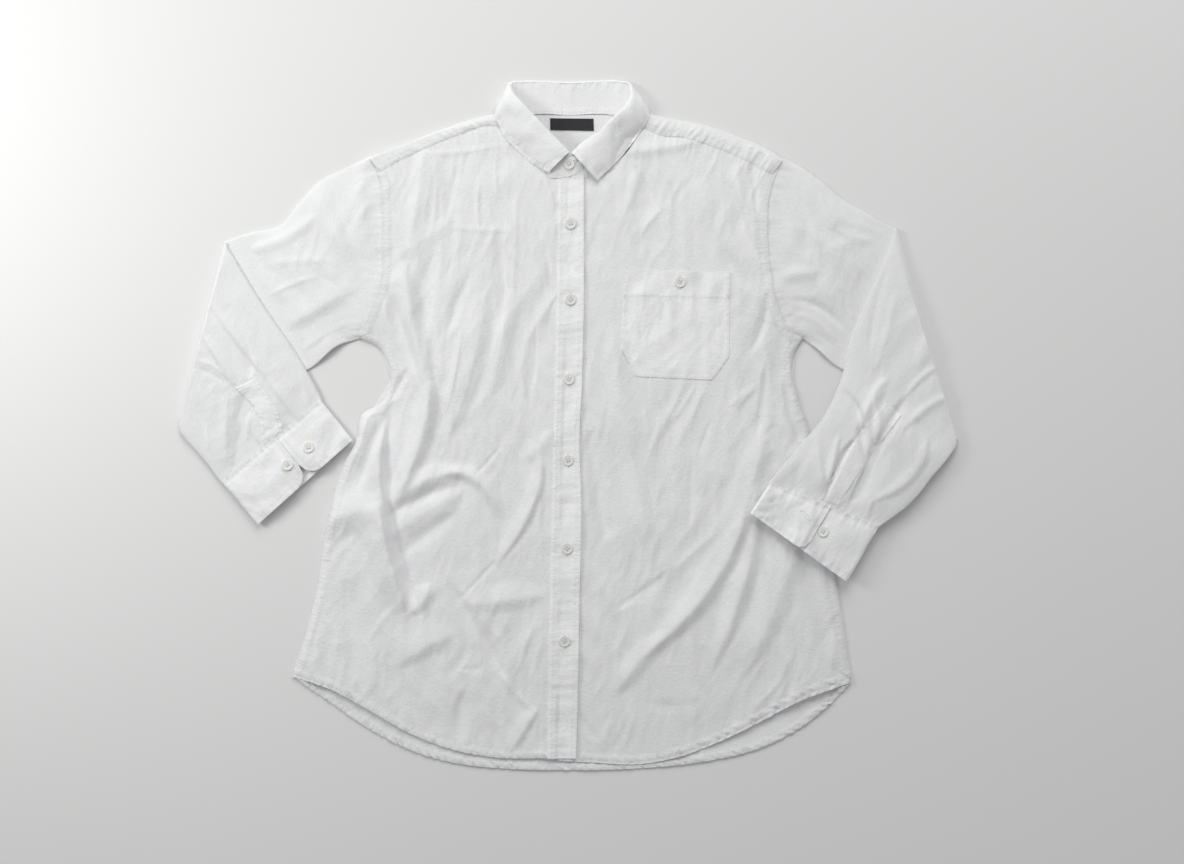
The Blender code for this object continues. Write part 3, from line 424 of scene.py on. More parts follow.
def flat_map(grid):
    """Lengths across and along a grid of points, from its middle."""
    rows, cols = grid.shape[:2]
    u = np.cumsum(np.linalg.norm(np.diff(grid, axis=1, prepend=grid[:, :1]), axis=2), axis=1)
    v = np.cumsum(np.linalg.norm(np.diff(grid, axis=0, prepend=grid[:1]), axis=2), axis=0)
    return np.stack([u - u[:, cols // 2, None], v - v[rows // 2]], -1)


def rim_of(rows, cols, start=0):
    """The edge of a grid, once round."""
    rim = list(range(cols)) + [r * cols + cols - 1 for r in range(1, rows)]
    rim += [(rows - 1) * cols + c for c in range(cols - 2, -1, -1)]
    return [start + place for place in rim + [r * cols for r in range(rows - 2, -1, -1)]]


def laid_sheet(name, plan, top, seam, material, thick=CLOTH):
    """A sheet whose upper face follows a height. Its hidden lower face is half as fine. Rows and
    columns are odd in number."""
    rows, cols = plan.shape[:2]
    padded = np.pad(top, 1, mode="edge")
    around = [padded[r : r + rows, c : c + cols] for r in range(3) for c in range(3)]
    lowest = np.min(around, axis=0)
    for edge in (np.s_[0], np.s_[-1], np.s_[:, 0], np.s_[:, -1]):
        lowest[edge] = top[edge]
    upper = np.dstack([plan, top])
    lower = np.dstack([plan, lowest - thick])[::2, ::2]
    count, low_rows, low_cols = rows * cols, *lower.shape[:2]
    faces = grid_faces(rows, cols) + [f[::-1] for f in grid_faces(low_rows, low_cols, start=count)]
    rim, low_rim = rim_of(rows, cols), rim_of(low_rows, low_cols, count)
    for k in range(len(low_rim) - 1):
        faces.append((low_rim[k], low_rim[k + 1], rim[2 * k + 2], rim[2 * k + 1], rim[2 * k]))
    maps = []
    for one in (flat_map(upper), np.stack(seam, -1)):
        maps.append(np.concatenate([one.reshape(-1, 2), one[::2, ::2].reshape(-1, 2)]))
    points = np.concatenate([upper.reshape(-1, 3), lower.reshape(-1, 3)])
    sheet = add_mesh(name, points, faces, *maps, material)
    smooth_faces(sheet)
    return sheet


def finish_cloth(thing, node, width, length, held, rests_on, slot="cotton"):
    """The piece stands for its node: the node's CAD part is hidden, and the piece hangs from the root."""
    area = sum(face.area for face in thing.data.polygons) / 2
    cut = (width * MM, length * MM)
    min(area, cut[0] * cut[1])
    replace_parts(thing, node)
    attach(thing, "root")


def hem_relief(away, along, seed):
    """A rolled hem: thick, and twisted into slanting puckers like a slack rope."""
    roll = 0.9 * ramp(away, HEM - 1.6, HEM + 0.8) * (0.5 + 0.5 * (1 - ramp(away, 0, 2.0)))
    twist = noise((along + 1.5 * away) / 3.4, away / 12 + along / 80, seed)
    twisted = 1.5 * twist * ramp(away, HEM * 0.7, HEM * 1.4)
    return roll + twisted + gathers(along, away, seed, spacing=6.0, reach=24.0, rise=0.6, slant=0.5)


def trimmed_at(line, share):
    """The place at a share of the height between a side's lower end and the yoke seam."""
    y = line[0, 1] + (YOKE_BACK_Y - line[0, 1]) * share
    rising = np.maximum.accumulate(line[:, 1])
    return np.interp(y, rising, line[:, 0]), y


def make_back():
    shares = joined(np.linspace(0, NEAR_HEM, BACK_ROWS), np.linspace(NEAR_HEM, 1, BACK_ROWS))
    left, right = [
        joined(smooth_line(side, BACK_SIDE_POINTS), smooth_line(armhole, BACK_ARMHOLE_POINTS))
        for side, armhole in ((SIDE_LEFT, ARMHOLE_LEFT), (SIDE_RIGHT, ARMHOLE_RIGHT))
    ]
    left, right = [np.array([trimmed_at(side, share) for share in shares]) for side in (left, right)]
    bottom = smooth_line(HEM_BACK, BACK_COLS)
    bottom[0], bottom[-1] = left[0], right[0]
    u = np.linspace(0, 1, BACK_COLS)[None, :, None]
    sides = between(left, right, u)
    plan = sides + (bottom - sides[0])[None] * (1 - shares[:, None, None])
    x, y = plan[..., 0], plan[..., 1]
    hem = Seam(HEM_BACK)
    away, along = hem.measure(x, y)
    height = CLOTH + BACK_LIFT + hem_relief(away, along, seed=5)
    height += BACK_HEM_LIFT * ramp(away, 0, BACK_HEM_REACH)
    height += BACK_WAVE * np.abs(noise(x / 30, y / 30, seed=3))
    height = np.maximum(height, CLOTH + 0.02)
    back = laid_sheet("back-panel", plan, height, seam_map(x, y, (hem, HEM - 1, 1)), cotton)
    finish_cloth(back, "back", width=650, length=655, held="laid", rests_on=["table"])


make_back()

# The two fronts.
# The left one carries the front band and lies over the right one's edge. Both are felled to
# the sleeves, sewn under the yoke and hemmed, and stand in long folds and fine creases.
HEM_LEFT = (
    (-319, -286), (-276, -301), (-230, -327), (-184, -354), (-138, -372), (-92, -381), (-26, -382.5),
)
HEM_RIGHT = (
    (-30, -383), (30, -386), (80, -387), (126, -378), (172, -360), (218, -337), (264, -312),
    (323, -290),
)
BAND_LEFT = (
    (-26, -382), (-23, -201), (-21, -109), (-18, 6), (-15, 144), (-14, 213), (-13, 282.5),
)
BAND_RIGHT = (
    (7, -382), (9, -316), (11, -201), (13, -86), (11, -17), (14, 52), (16, 144), (16, 202), (16, 288),
)
NECK_LEFT = ((-13, 284), (-30, 291), (-44, 301), (-58, 315), (-68, 330), (-74, 346))
NECK_RIGHT = ((-20, 283), (10, 287), (30, 291), (48, 300), (63, 313), (74, 329), (80, 346))
YOKE_SEAM_LEFT = ((-74, 346), (-101, 345), (-126, 336), (-172, 317), (-195, 306), (-218, 293))
YOKE_SEAM_RIGHT = ((80, 346), (109, 334), (126, 333), (149, 327), (195, 309), (232, 290))
BODY_Y = (-400, -375, -330, -250, -100, 150, 280, 320, 350)
BODY_RISE = (0.6, 1.4, 3.2, 6.5, 8.0, 8.0, 6.0, 4.0, 1.5)  # of the body's pillow, at those places up it
PILLOW_EDGE = 75.0  # from a side seam to where the pillow is level
FRONT_ROWS, FRONT_COLS = 361, 167
SIDE_ROWS, NECK_COLS = 272, 60  # rows up to the underarm, and columns from the band to the shoulder
FELL = 9.5  # width of the felled armhole seam, on the body's side
SIDE_FELL = 10.0
FELL_RISE, FELL_DIP = 0.6, 0.3  # of the seam, and of the row of stitches along it
FRONT_GAP, LEAST_GAP = 0.4, 0.25  # over the back panel, before its folds and at the least
CREASES = ((34, 2.0), (17, 0.95), (8, 0.34))  # size and depth of each kind of fine crease
FOLD_TAPER, FOLD_TIP = 0.38, 0.12  # share of its length that a fold fades over, and what is left at its ends
FOLD_NARROWED = 0.4  # share of its width at its ends

# Each fold passes three points of the photograph, given by their pixels from its start to its end.
# Its rise and the widths of its two slopes are real sizes.
PIXEL, MIDDLE_PIXEL = 1.15, (570.0, 425.5)
Fold = namedtuple("Fold", "start_x start_y middle_x middle_y end_x end_y rise left right")
FOLDS_LEFT = (
    Fold(402, 262, 416, 330, 431, 424, 7, 14, 12), Fold(390, 290, 407, 340, 424, 390, -2.5, 6, 6),
    Fold(432, 380, 422, 438, 398, 494, 7.5, 15, 11), Fold(386, 418, 381, 478, 393, 552, 6.5, 26, 7),
    Fold(394, 398, 389, 452, 391, 512, -4.5, 8, 9), Fold(391, 498, 401, 552, 420, 612, -6, 7, 10),
    Fold(379, 500, 389, 553, 406, 612, 10, 24, 8), Fold(390, 508, 423, 482, 466, 472, 5.2, 11, 14),
    Fold(444, 472, 480, 482, 502, 520, 4.4, 8, 11), Fold(386, 520, 420, 499, 456, 487, -2.0, 8, 8),
    Fold(390, 536, 427, 512, 464, 491, 3.4, 16, 12), Fold(404, 552, 430, 532, 454, 514, -2.4, 10, 10),
    Fold(474, 476, 488, 462, 500, 447, -1, 3, 3), Fold(541, 452, 534, 502, 500, 560, 4.4, 12, 5),
    Fold(553, 430, 540, 448, 524, 458, 2.0, 12, 9), Fold(496, 560, 478, 580, 459, 600, -1.2, 3, 3),
    Fold(468, 603, 502, 600, 545, 594, 3.4, 12, 18), Fold(486, 292, 474, 360, 450, 436, 5, 22, 12),
    Fold(512, 290, 503, 340, 492, 394, 2.8, 9, 13), Fold(524, 340, 522, 390, 518, 445, 1, 7, 7),
    Fold(344, 578, 351, 630, 354, 690, -4, 14, 20), Fold(429, 582, 425, 598, 410, 613, 4.4, 13, 8),
    Fold(452, 634, 426, 646, 396, 664, 3.8, 22, 11), Fold(404, 665, 408, 690, 414, 715, -1.4, 8, 8),
    Fold(448, 580, 480, 630, 508, 678, -2.6, 11, 7), Fold(502, 675, 518, 695, 536, 712, 1.4, 5, 5),
    Fold(537, 708, 524, 730, 508, 752, 3.6, 12, 5), Fold(538, 715, 541, 735, 538, 752, -1.5, 4, 4),
    Fold(466, 688, 460, 715, 459, 742, -3, 9, 14), Fold(534, 620, 526, 645, 518, 668, 1.2, 4, 4),
    Fold(546, 630, 538, 655, 530, 685, 1, 4, 4), Fold(378, 406, 360, 440, 347, 484, 4.6, 7, 10),
    Fold(388, 412, 374, 446, 358, 490, -4.6, 8, 7), Fold(408, 370, 400, 385, 390, 402, -2.5, 6, 6),
    Fold(314, 527, 346, 515, 380, 507, 7.5, 23, 22), Fold(424, 150, 420, 190, 411, 244, 5, 10, 19),
    Fold(450, 222, 424, 241, 392, 258, 2.0, 12, 12), Fold(470, 272, 458, 305, 447, 335, -2.6, 9, 7),
    Fold(436, 250, 426, 292, 426, 340, -4.4, 13, 11), Fold(502, 236, 505, 285, 501, 335, -2.8, 14, 2.5),
    Fold(530, 208, 545, 245, 554, 305, -2.2, 6, 3), Fold(516, 196, 516, 245, 512, 292, 0.8, 3, 7),
    Fold(480, 184, 478, 210, 481, 238, 1.1, 3, 3), Fold(546, 178, 550, 192, 557, 212, 1.5, 4, 3),
    Fold(560, 215, 562, 270, 560, 330, -1, 8, 3), Fold(498, 150, 496, 180, 502, 205, 0.9, 3, 3),
    Fold(458, 170, 452, 195, 446, 222, -1.2, 6, 4), Fold(463, 330, 456, 372, 448, 410, 1.4, 6, 3),
    Fold(534, 300, 536, 350, 530, 400, -1.4, 8, 3), Fold(545, 470, 540, 520, 546, 570, 1.0, 4, 4),
    Fold(424, 153, 455, 153, 500, 146, 1.2, 5, 3), Fold(386, 300, 390, 325, 402, 352, 1.8, 4, 5),
    Fold(520, 190, 512, 240, 516, 300, 0.9, 5, 6), Fold(450, 227, 483, 231, 512, 230, 0.9, 4, 4),
    Fold(475, 640, 482, 664, 462, 668, -1.2, 6, 6), Fold(370, 640, 382, 622, 396, 606, 0.9, 5, 5),
    Fold(330, 690, 335, 655, 340, 640, 1, 6, 6), Fold(500, 505, 502, 530, 498, 545, -1, 7, 7),
)
FOLDS_RIGHT = (
    Fold(612, 322, 620, 400, 631, 462, 5, 12, 15), Fold(630, 446, 641, 510, 656, 572, 4.2, 10, 12),
    Fold(590, 430, 600, 500, 616, 580, -3.8, 10, 12), Fold(618, 607, 644, 590, 666, 572, -2.2, 8, 5),
    Fold(768, 418, 750, 486, 730, 556, 5.6, 17, 12), Fold(744, 520, 708, 588, 648, 652, 8, 17, 11),
    Fold(664, 634, 638, 662, 616, 692, 4.4, 14, 11), Fold(756, 500, 744, 580, 710, 668, 5.4, 13, 10),
    Fold(797, 532, 777, 598, 746, 668, 5, 24, 14), Fold(765, 360, 762, 400, 755, 440, -2, 5, 6),
    Fold(783, 380, 792, 420, 803, 450, -3, 5, 5), Fold(735, 400, 728, 450, 712, 500, 1.6, 12, 10),
    Fold(735, 409, 745, 398, 756, 387, 1, 3, 3), Fold(672, 424, 684, 404, 696, 385, 0.9, 3, 3),
    Fold(712, 418, 704, 438, 698, 456, -1, 3, 3), Fold(760, 440, 768, 432, 776, 425, -0.8, 4, 4),
    Fold(692, 460, 690, 500, 688, 540, -1.2, 5, 5), Fold(662, 478, 656, 505, 658, 540, 1, 6, 6),
    Fold(735, 162, 743, 205, 758, 250, 3.4, 7, 9), Fold(725, 180, 740, 215, 755, 262, -1.6, 6, 6),
    Fold(748, 158, 754, 185, 756, 215, -2, 4, 4), Fold(766, 290, 764, 320, 752, 350, -3, 8, 5),
    Fold(694, 180, 714, 224, 744, 266, 3.2, 12, 15), Fold(632, 166, 648, 190, 659, 215, -1.9, 5, 3),
    Fold(668, 205, 650, 222, 640, 240, 0.9, 3, 3), Fold(690, 212, 684, 250, 694, 280, 1.0, 7, 7),
    Fold(640, 170, 632, 190, 626, 215, 1.2, 7, 7), Fold(626, 154, 660, 149, 706, 140, 2.8, 8, 11),
    Fold(600, 215, 596, 232, 592, 248, -1, 6, 6), Fold(720, 250, 735, 272, 750, 290, -1.4, 8, 8),
    Fold(700, 600, 690, 640, 700, 690, 1, 8, 8), Fold(640, 700, 670, 706, 700, 700, -1, 8, 8),
    Fold(607, 530, 610, 580, 612, 640, 1.2, 8, 10), Fold(580, 712, 588, 728, 600, 740, -1.6, 6, 6),
    Fold(612, 718, 606, 735, 604, 750, 1.4, 5, 5), Fold(620, 610, 640, 595, 664, 570, 0.9, 6, 6),
    Fold(730, 405, 742, 396, 755, 384, 1.2, 5, 5), Fold(820, 480, 826, 560, 834, 640, -1, 8, 8),
    Fold(690, 430, 694, 410, 704, 392, 0.9, 4, 4),
)
Front = namedtuple("Front", "side armhole hem neck yoke_seam inner_edge rise_at_band folds seed")
FRONT_LEFT = Front(
    SIDE_LEFT, ARMHOLE_LEFT, HEM_LEFT, NECK_LEFT, YOKE_SEAM_LEFT, (6.0, 0.0), 1.1, FOLDS_LEFT, 40
)
FRONT_RIGHT = Front(
    SIDE_RIGHT, ARMHOLE_RIGHT, HEM_RIGHT, NECK_RIGHT, YOKE_SEAM_RIGHT, (-6.0, -1.5), 0.0, FOLDS_RIGHT, 80
)
side_left, side_right = Seam(SIDE_LEFT), Seam(SIDE_RIGHT)


def on_shirt(pixel_x, pixel_y):
    return (pixel_x - MIDDLE_PIXEL[0]) * PIXEL, (MIDDLE_PIXEL[1] - pixel_y) * PIXEL


def patch(bottom, top, left, right):
    """A grid of plan points between four edges, rows from bottom to top."""
    u = np.linspace(0, 1, len(bottom))[None, :, None]
    v = np.linspace(0, 1, len(left))[:, None, None]
    between = (1 - v) * bottom[None] + v * top[None] + (1 - u) * left[:, None] + u * right[:, None]
    low = (1 - u) * bottom[0] + u * bottom[-1]
    high = (1 - u) * top[0] + u * top[-1]
    return between - (1 - v) * low - v * high


def fold_height(x, y, folds):
    """Sum of the folds at plan points. Each is a ridge or trough along a curve through 3 points,
    with a slope at either side of it, and runs out in a point at both ends."""
    x, y = np.asarray(x, float), np.asarray(y, float)
    total = np.zeros(x.shape)
    t = np.linspace(0, 1, 49)
    for fold in folds:
        bend_x = 2 * fold.middle_x - (fold.start_x + fold.end_x) / 2
        bend_y = 2 * fold.middle_y - (fold.start_y + fold.end_y) / 2
        path_x, path_y = on_shirt(
            (1 - t) ** 2 * fold.start_x + 2 * t * (1 - t) * bend_x + t**2 * fold.end_x,
            (1 - t) ** 2 * fold.start_y + 2 * t * (1 - t) * bend_y + t**2 * fold.end_y,
        )
        reach = 1.8 * max(fold.left, fold.right)
        near = (x > path_x.min() - reach) & (x < path_x.max() + reach)
        near &= (y > path_y.min() - reach) & (y < path_y.max() + reach)
        if not near.any():
            continue
        away_x, away_y = x[near][:, None] - path_x, y[near][:, None] - path_y
        best = np.hypot(away_x, away_y).argmin(1)
        row = np.arange(len(best))
        step_x, step_y = np.gradient(path_x)[best], np.gradient(path_y)[best]
        off_x, off_y = away_x[row, best], away_y[row, best]
        past = np.clip((off_x * step_x + off_y * step_y) / (step_x**2 + step_y**2), -0.5, 0.5)
        off_x, off_y = off_x - past * step_x, off_y - past * step_y
        off = np.hypot(off_x, off_y)
        side = (step_x * off_y - step_y * off_x) / (np.hypot(step_x, step_y) * (off + 1e-9))
        on = np.clip((best + past) / (len(t) - 1), 0, 1)
        taper = np.clip(np.minimum(on, 1 - on) / FOLD_TAPER, 0, 1)
        taper = FOLD_TIP + (1 - FOLD_TIP) * taper * (2 - taper)
        width = (fold.left + fold.right) / 2 + side * (fold.right - fold.left) / 2
        width *= FOLD_NARROWED + (1 - FOLD_NARROWED) * taper
        total[near] += fold.rise * taper * tent(off / width)
    return total


def creased(x, y, seed, size, stretch, turn):
    """Creases of about that size, drawn out along a direction in degrees and broken up."""
    a = math.radians(turn)
    along = (x * math.cos(a) + y * math.sin(a)) / (size * stretch)
    across = (y * math.cos(a) - x * math.sin(a)) / size
    bent = across + 0.7 * noise(along * 1.1, across * 0.4, seed + 1)
    ridge = 0.5 - np.sqrt(noise(along, bent, seed) ** 2 + 0.0015) * 1.8
    broken = np.clip(0.45 + 1.2 * noise(along * 0.7 + 9, across * 0.35, seed + 2), 0, 1)
    return ridge * broken


def crumpled(x, y, seed, turns=(96, 72, 112)):
    """Fine creases of three sizes, along directions in degrees."""
    total = np.zeros(np.shape(x))
    for number, turn in enumerate(turns):
        for size, depth in CREASES:
            total += depth * creased(x, y, seed + 17 * number + size, size, 3.4, turn)
    return total


def felled(away, width):
    """A seam sewn down flat: a raised band with a sunk row of stitches along it."""
    return FELL_RISE * ramp(away, width - 0.8, width + 0.8) - FELL_DIP * groove(away, width - 1.5)


def body_height(x, y, folds):
    """Top of the front at plan points, before its seams: a low pillow with the folds on it."""
    x, y = np.asarray(x, float), np.asarray(y, float)
    edge = np.minimum(side_left.measure(x, y)[0], side_right.measure(x, y)[0])
    pillow = (1 - (1 - np.clip(edge / PILLOW_EDGE, 0, 1)) ** 2.2) ** 0.6
    rise = pillow * np.interp(y, BODY_Y, BODY_RISE)
    ground = np.minimum(rise / 3.0, 1.0)
    folds = fold_height(x, y, folds) * ground
    return 2 * CLOTH + FRONT_GAP + np.maximum(rise + folds, 0.0)


def front_top(plan, front, armhole, side, hem, yoke_seam):
    """Height of a front's upper face, with its seams and what they gather."""
    x, y = plan[..., 0], plan[..., 1]
    body = body_height(x, y, front.folds)
    free = np.clip((body - 1.6) / 2.5, 0.15, 1)
    body += crumpled(x, y, front.seed) * free
    away, along = armhole.measure(x, y)
    body += felled(away, FELL)
    body += gathers(along, away, front.seed + 1, spacing=6.5, reach=42.0, rise=0.4) * free
    away, along = side.measure(x, y)
    pucker = gathers(along, away, front.seed + 2, spacing=9.0, reach=26.0, rise=0.6)
    body += (felled(away, SIDE_FELL) + pucker) * free
    away, along = hem.measure(x, y)
    body += hem_relief(away, along, front.seed + 3)
    away, along = yoke_seam.measure(x, y)
    body += gathers(along, away, front.seed + 4, spacing=6.0, reach=60.0, rise=1.1) * free
    return np.maximum(body, 2 * CLOTH + LEAST_GAP) + front.rise_at_band * ramp(-x, 24, 62)


def make_front(name, front, outer_edge_first):
    outer = joined(smooth_line(front.side, SIDE_ROWS), smooth_line(front.armhole, FRONT_ROWS + 1 - SIDE_ROWS))
    outer[-1] = front.yoke_seam[-1]
    inner = smooth_line(BAND_LEFT, FRONT_ROWS) + front.inner_edge
    shoulder = smooth_line(front.yoke_seam, FRONT_COLS + 1 - NECK_COLS)
    top = joined(smooth_line(front.neck, NECK_COLS), shoulder)
    bottom = smooth_line(front.hem, FRONT_COLS)
    if outer_edge_first:
        plan = patch(bottom, top[::-1], outer, inner)
    else:
        plan = patch(bottom, top, inner, outer)
    armhole, side, hem, yoke_seam = map(Seam, (front.armhole, front.side, front.hem, front.yoke_seam))
    top = front_top(plan, front, armhole, side, hem, yoke_seam)
    seams = ((armhole, FELL, 2), (side, SIDE_FELL, 2), (hem, HEM - 1, 1))
    return laid_sheet(name, plan, top, seam_map(plan[..., 0], plan[..., 1], *seams), cotton)


front_left = make_front("left-front", FRONT_LEFT, True)
front_right = make_front("right-front", FRONT_RIGHT, False)
finish_cloth(
    front_left, "front_left", width=320, length=690, held="laid", rests_on=["back-panel", "right-front"]
)
finish_cloth(front_right, "front_right", width=365, length=690, held="laid", rests_on=["back-panel"])

# The front band.
# A strip of double cloth stitched down along both edges of the left front's opening. The
# buttons hold it to the right front under it.
BAND_WIDTH = 32.0
BAND_STITCH = 5.0  # from either edge to its row of stitches
BAND_ROWS, BAND_COLS, BAND_STEP = 331, 25, 2.0  # the last is from row to row
BAND_RISE, BAND_EDGE = 1.1, 0.2  # of its top over what it lies on, and how much lower its edges are
BAND_PROUD, BAND_LOW = 1.3, 0.5  # how far its right edge stands up, and its left edge lies down
BAND_PUCKER, BAND_WAVE = 0.5, 0.8  # between its stitches, and along it
DOUBLE = 1.0  # thickness of cloth sewn double
ROW_DIP = 0.08  # how far a row of stitches draws it in
DOUBLE_COTTON, DOUBLE_THIN = (0.955, 0.955, 0.957), (0.925, 0.926, 0.932)
pressed = cotton_material("white cotton sewn double", 0.30, DOUBLE_COTTON, DOUBLE_THIN)


class Surface:
    """The tops of finished pieces, to lay the next piece on."""

    def __init__(self, *things):
        graph = bpy.context.evaluated_depsgraph_get()
        self.trees = [BVHTree.FromObject(thing, graph) for thing in things]

    def top(self, x, y):
        start = Vector((x * MM, y * MM, 1.0))
        found = [tree.ray_cast(start, Vector((0, 0, -1)))[0] for tree in self.trees]
        return max([hit.z / MM for hit in found if hit is not None], default=0.0)

    def reach(self, x, y, radius):
        """The highest place within a radius of a plan point."""
        steps = [(0, 0)] + [(math.cos(a), math.sin(a)) for a in np.arange(8) * math.pi / 4]
        return max(self.top(x + radius * c, y + radius * s) for c, s in steps)

    def over(self, plan, radius=0.0):
        feel = self.reach if radius else lambda x, y, r: self.top(x, y)
        return np.array([[feel(x, y, radius) for x, y in row] for row in plan])

    def draped(self, plan, radius, step=3):
        """The height of a sheet that lies over all that is within a radius, felt at every few points."""
        rows, cols = plan.shape[:2]
        at_rows = np.unique(np.append(np.arange(0, rows, step), rows - 1))
        at_cols = np.unique(np.append(np.arange(0, cols, step), cols - 1))
        felt = self.over(plan[np.ix_(at_rows, at_cols)], radius)
        felt = np.array([np.interp(np.arange(cols), at_cols, line) for line in felt])
        return np.array([np.interp(np.arange(rows), at_rows, line) for line in felt.T]).T


def make_band():
    left, right = smooth_line(BAND_LEFT, BAND_ROWS), smooth_line(BAND_RIGHT, BAND_ROWS)
    u = np.linspace(0, 1, BAND_COLS)[None, :, None]
    plan = between(left, right, u)
    below = Surface(front_left, front_right).draped(plan, radius=4.0)
    along = np.broadcast_to(np.arange(BAND_ROWS)[:, None] * BAND_STEP, below.shape)
    edge = np.broadcast_to(np.minimum(u, 1 - u)[..., 0] * BAND_WIDTH, below.shape)
    from_left = np.broadcast_to(u[..., 0] * BAND_WIDTH, below.shape)
    top = below + BAND_RISE - ROW_DIP * groove(edge, BAND_STITCH) - BAND_EDGE * ramp(edge, 0.0, 1.2)
    top += BAND_PROUD * ramp(BAND_WIDTH - from_left, 0, 12) - BAND_LOW * ramp(from_left, 0, 4)
    pucker = BAND_PUCKER * noise(along / 5.5, edge / 22, seed=21)
    pucker += gathers(along, edge, seed=22, spacing=7.0, reach=15.0, rise=0.5, slant=0.3)
    top += pucker * (1 - ramp(edge, 0.5, 5))
    top += BAND_WAVE * noise(along / 22, edge / 60, seed=23)
    band = laid_sheet("front-band", plan, top, (along, seam_rows(edge, BAND_STITCH, 1)), pressed, DOUBLE)
    finish_cloth(band, "placket", width=33, length=672, held="laid", rests_on=["left-front", "right-front"])
    return band


band = make_band()

# The yoke.
# One piece across the shoulders: its inside shows in the neck, and it turns over each shoulder
# to a seam on the front, which it laps over.
SHOULDER_LEFT = ((-84, 357.5), (-103, 354), (-149, 339), (-195, 321), (-230, 308))
SHOULDER_RIGHT = ((90, 357.5), (126, 350), (149, 346), (195, 331), (236, 312), (244, 306))
NECK_BACK_Y = 358.2
YOKE_ROLL, YOKE_LEVEL = 1.4, 0.62  # radius of its turn over the shoulders, and its height on the table
YOKE_FALL = 15.0  # from the turn to the seam
YOKE_GAP, YOKE_SUNK = 0.2, 0.6  # between its fall and the front, and how far its seam is drawn down
YOKE_PUFF, YOKE_PUCKER, YOKE_WAVE = 1.6, 1.0, 0.35  # of its fall, and the last of its inside
YOKE_STEP = 1.6  # from column to column
YOKE_SIDE_COLS, YOKE_NECK_COLS, YOKE_FLAT_ROWS, YOKE_FALL_ROWS = 110, 60, 12, 16


def soft_wall(name, grid, seam, material, thick=CLOTH, ring=False, faces=None):
    """A sheet of even thickness along a grid of points, rows by columns, or a tube of rings."""
    rows, cols = grid.shape[:2]
    maps = flat_map(grid).reshape(-1, 2), np.stack(seam, -1).reshape(-1, 2)
    faces = faces or grid_faces(rows, cols, ring)
    thing = add_mesh(name, grid.reshape(-1, 3), faces, *maps, material)
    wall = thing.modifiers.new("wall", "SOLIDIFY")
    wall.thickness, wall.offset = thick * MM, 0
    bpy.context.view_layer.objects.active = thing
    bpy.ops.object.modifier_apply(modifier=wall.name)
    smooth_faces(thing)
    return thing


def make_yoke():
    left, right = [
        smooth_line([point for point in armhole if point[1] > YOKE_BACK_Y], YOKE_FLAT_ROWS)
        for armhole in (ARMHOLE_LEFT, ARMHOLE_RIGHT)
    ]
    shoulder_left = smooth_line(SHOULDER_LEFT, YOKE_SIDE_COLS)[::-1]
    shoulder_right = smooth_line(SHOULDER_RIGHT, YOKE_SIDE_COLS)
    neck_edge = np.linspace(shoulder_left[-1], shoulder_right[0], YOKE_NECK_COLS + 2)
    neck_edge[1:-1, 1] = NECK_BACK_Y
    top = joined(shoulder_left, neck_edge, shoulder_right)
    cols = len(top)
    flat = patch(np.linspace(left[0], right[0], cols), top, left, right)
    level = CLOTH / 2 + YOKE_WAVE * np.abs(noise(flat[..., 0] / 26, flat[..., 1] / 26, seed=9))
    level *= ramp(np.arange(YOKE_FLAT_ROWS)[:, None], YOKE_FLAT_ROWS - 3, YOKE_FLAT_ROWS - 1)
    layers = [np.dstack([flat, YOKE_LEVEL + np.maximum(level - CLOTH / 2, 0)])[:-1]]
    for angle in np.radians(range(-90, 91, 30)):
        edge = top + (0, YOKE_ROLL * (math.cos(angle) - 1))
        height = np.full((cols, 1), YOKE_LEVEL + YOKE_ROLL * (1 + math.sin(angle)))
        layers.append(np.hstack([edge, height])[None])
    seam_left = smooth_line(YOKE_SEAM_LEFT, YOKE_SIDE_COLS)[::-1]
    seam = joined(seam_left, neck_edge, smooth_line(YOKE_SEAM_RIGHT, YOKE_SIDE_COLS))
    start = layers[-1][0]
    falls = np.linspace(0, 1, YOKE_FALL_ROWS + 1)[1:]
    plan = np.array([start[:, :2] * (1 - t) + (seam - (0, 2.0)) * t for t in falls])
    on_front = Surface(front_left, front_right).draped(plan, radius=1.0, step=1) + CLOTH / 2 + YOKE_GAP
    along = np.broadcast_to(np.arange(cols) * YOKE_STEP, on_front.shape)
    t = falls[:, None]
    to_seam = (1 - t) * YOKE_FALL
    on_front -= YOKE_SUNK * ramp(to_seam, 0, 3)
    height = start[:, 2] * (1 - t) + on_front[-1] * t + YOKE_PUFF * np.sin(math.pi * t)
    height = np.maximum(height, on_front)
    height += YOKE_PUCKER * noise(along / 6.0, t * 0.8, seed=12) * np.sin(math.pi * t) ** 0.6
    height += gathers(along, to_seam + 0 * along, seed=13, spacing=8.0, reach=14.0, rise=0.5)
    height = np.maximum(height, np.maximum(on_front - YOKE_GAP, YOKE_LEVEL))
    layers.append(np.dstack([plan, height]))
    grid = np.concatenate(layers)
    away = np.concatenate([np.full(len(grid) - YOKE_FALL_ROWS, 20.0), 2 + (1 - falls) * 14.0])
    seams = np.broadcast_to(along[0], grid.shape[:2]), np.repeat(away[:, None], cols, 1)
    open_neck = range(YOKE_SIDE_COLS - 1, YOKE_SIDE_COLS + YOKE_NECK_COLS)
    faces = [
        face
        for face in grid_faces(len(grid), cols)
        if face[0] // cols < YOKE_FLAT_ROWS - 1 or face[0] % cols not in open_neck
    ]
    yoke = soft_wall("shoulder-yoke", grid, seams, cotton, faces=faces)
    finish_cloth(yoke, "yoke", width=475, length=120, held="folded", rests_on=["left-front", "right-front"])
    return yoke


yoke = make_yoke()

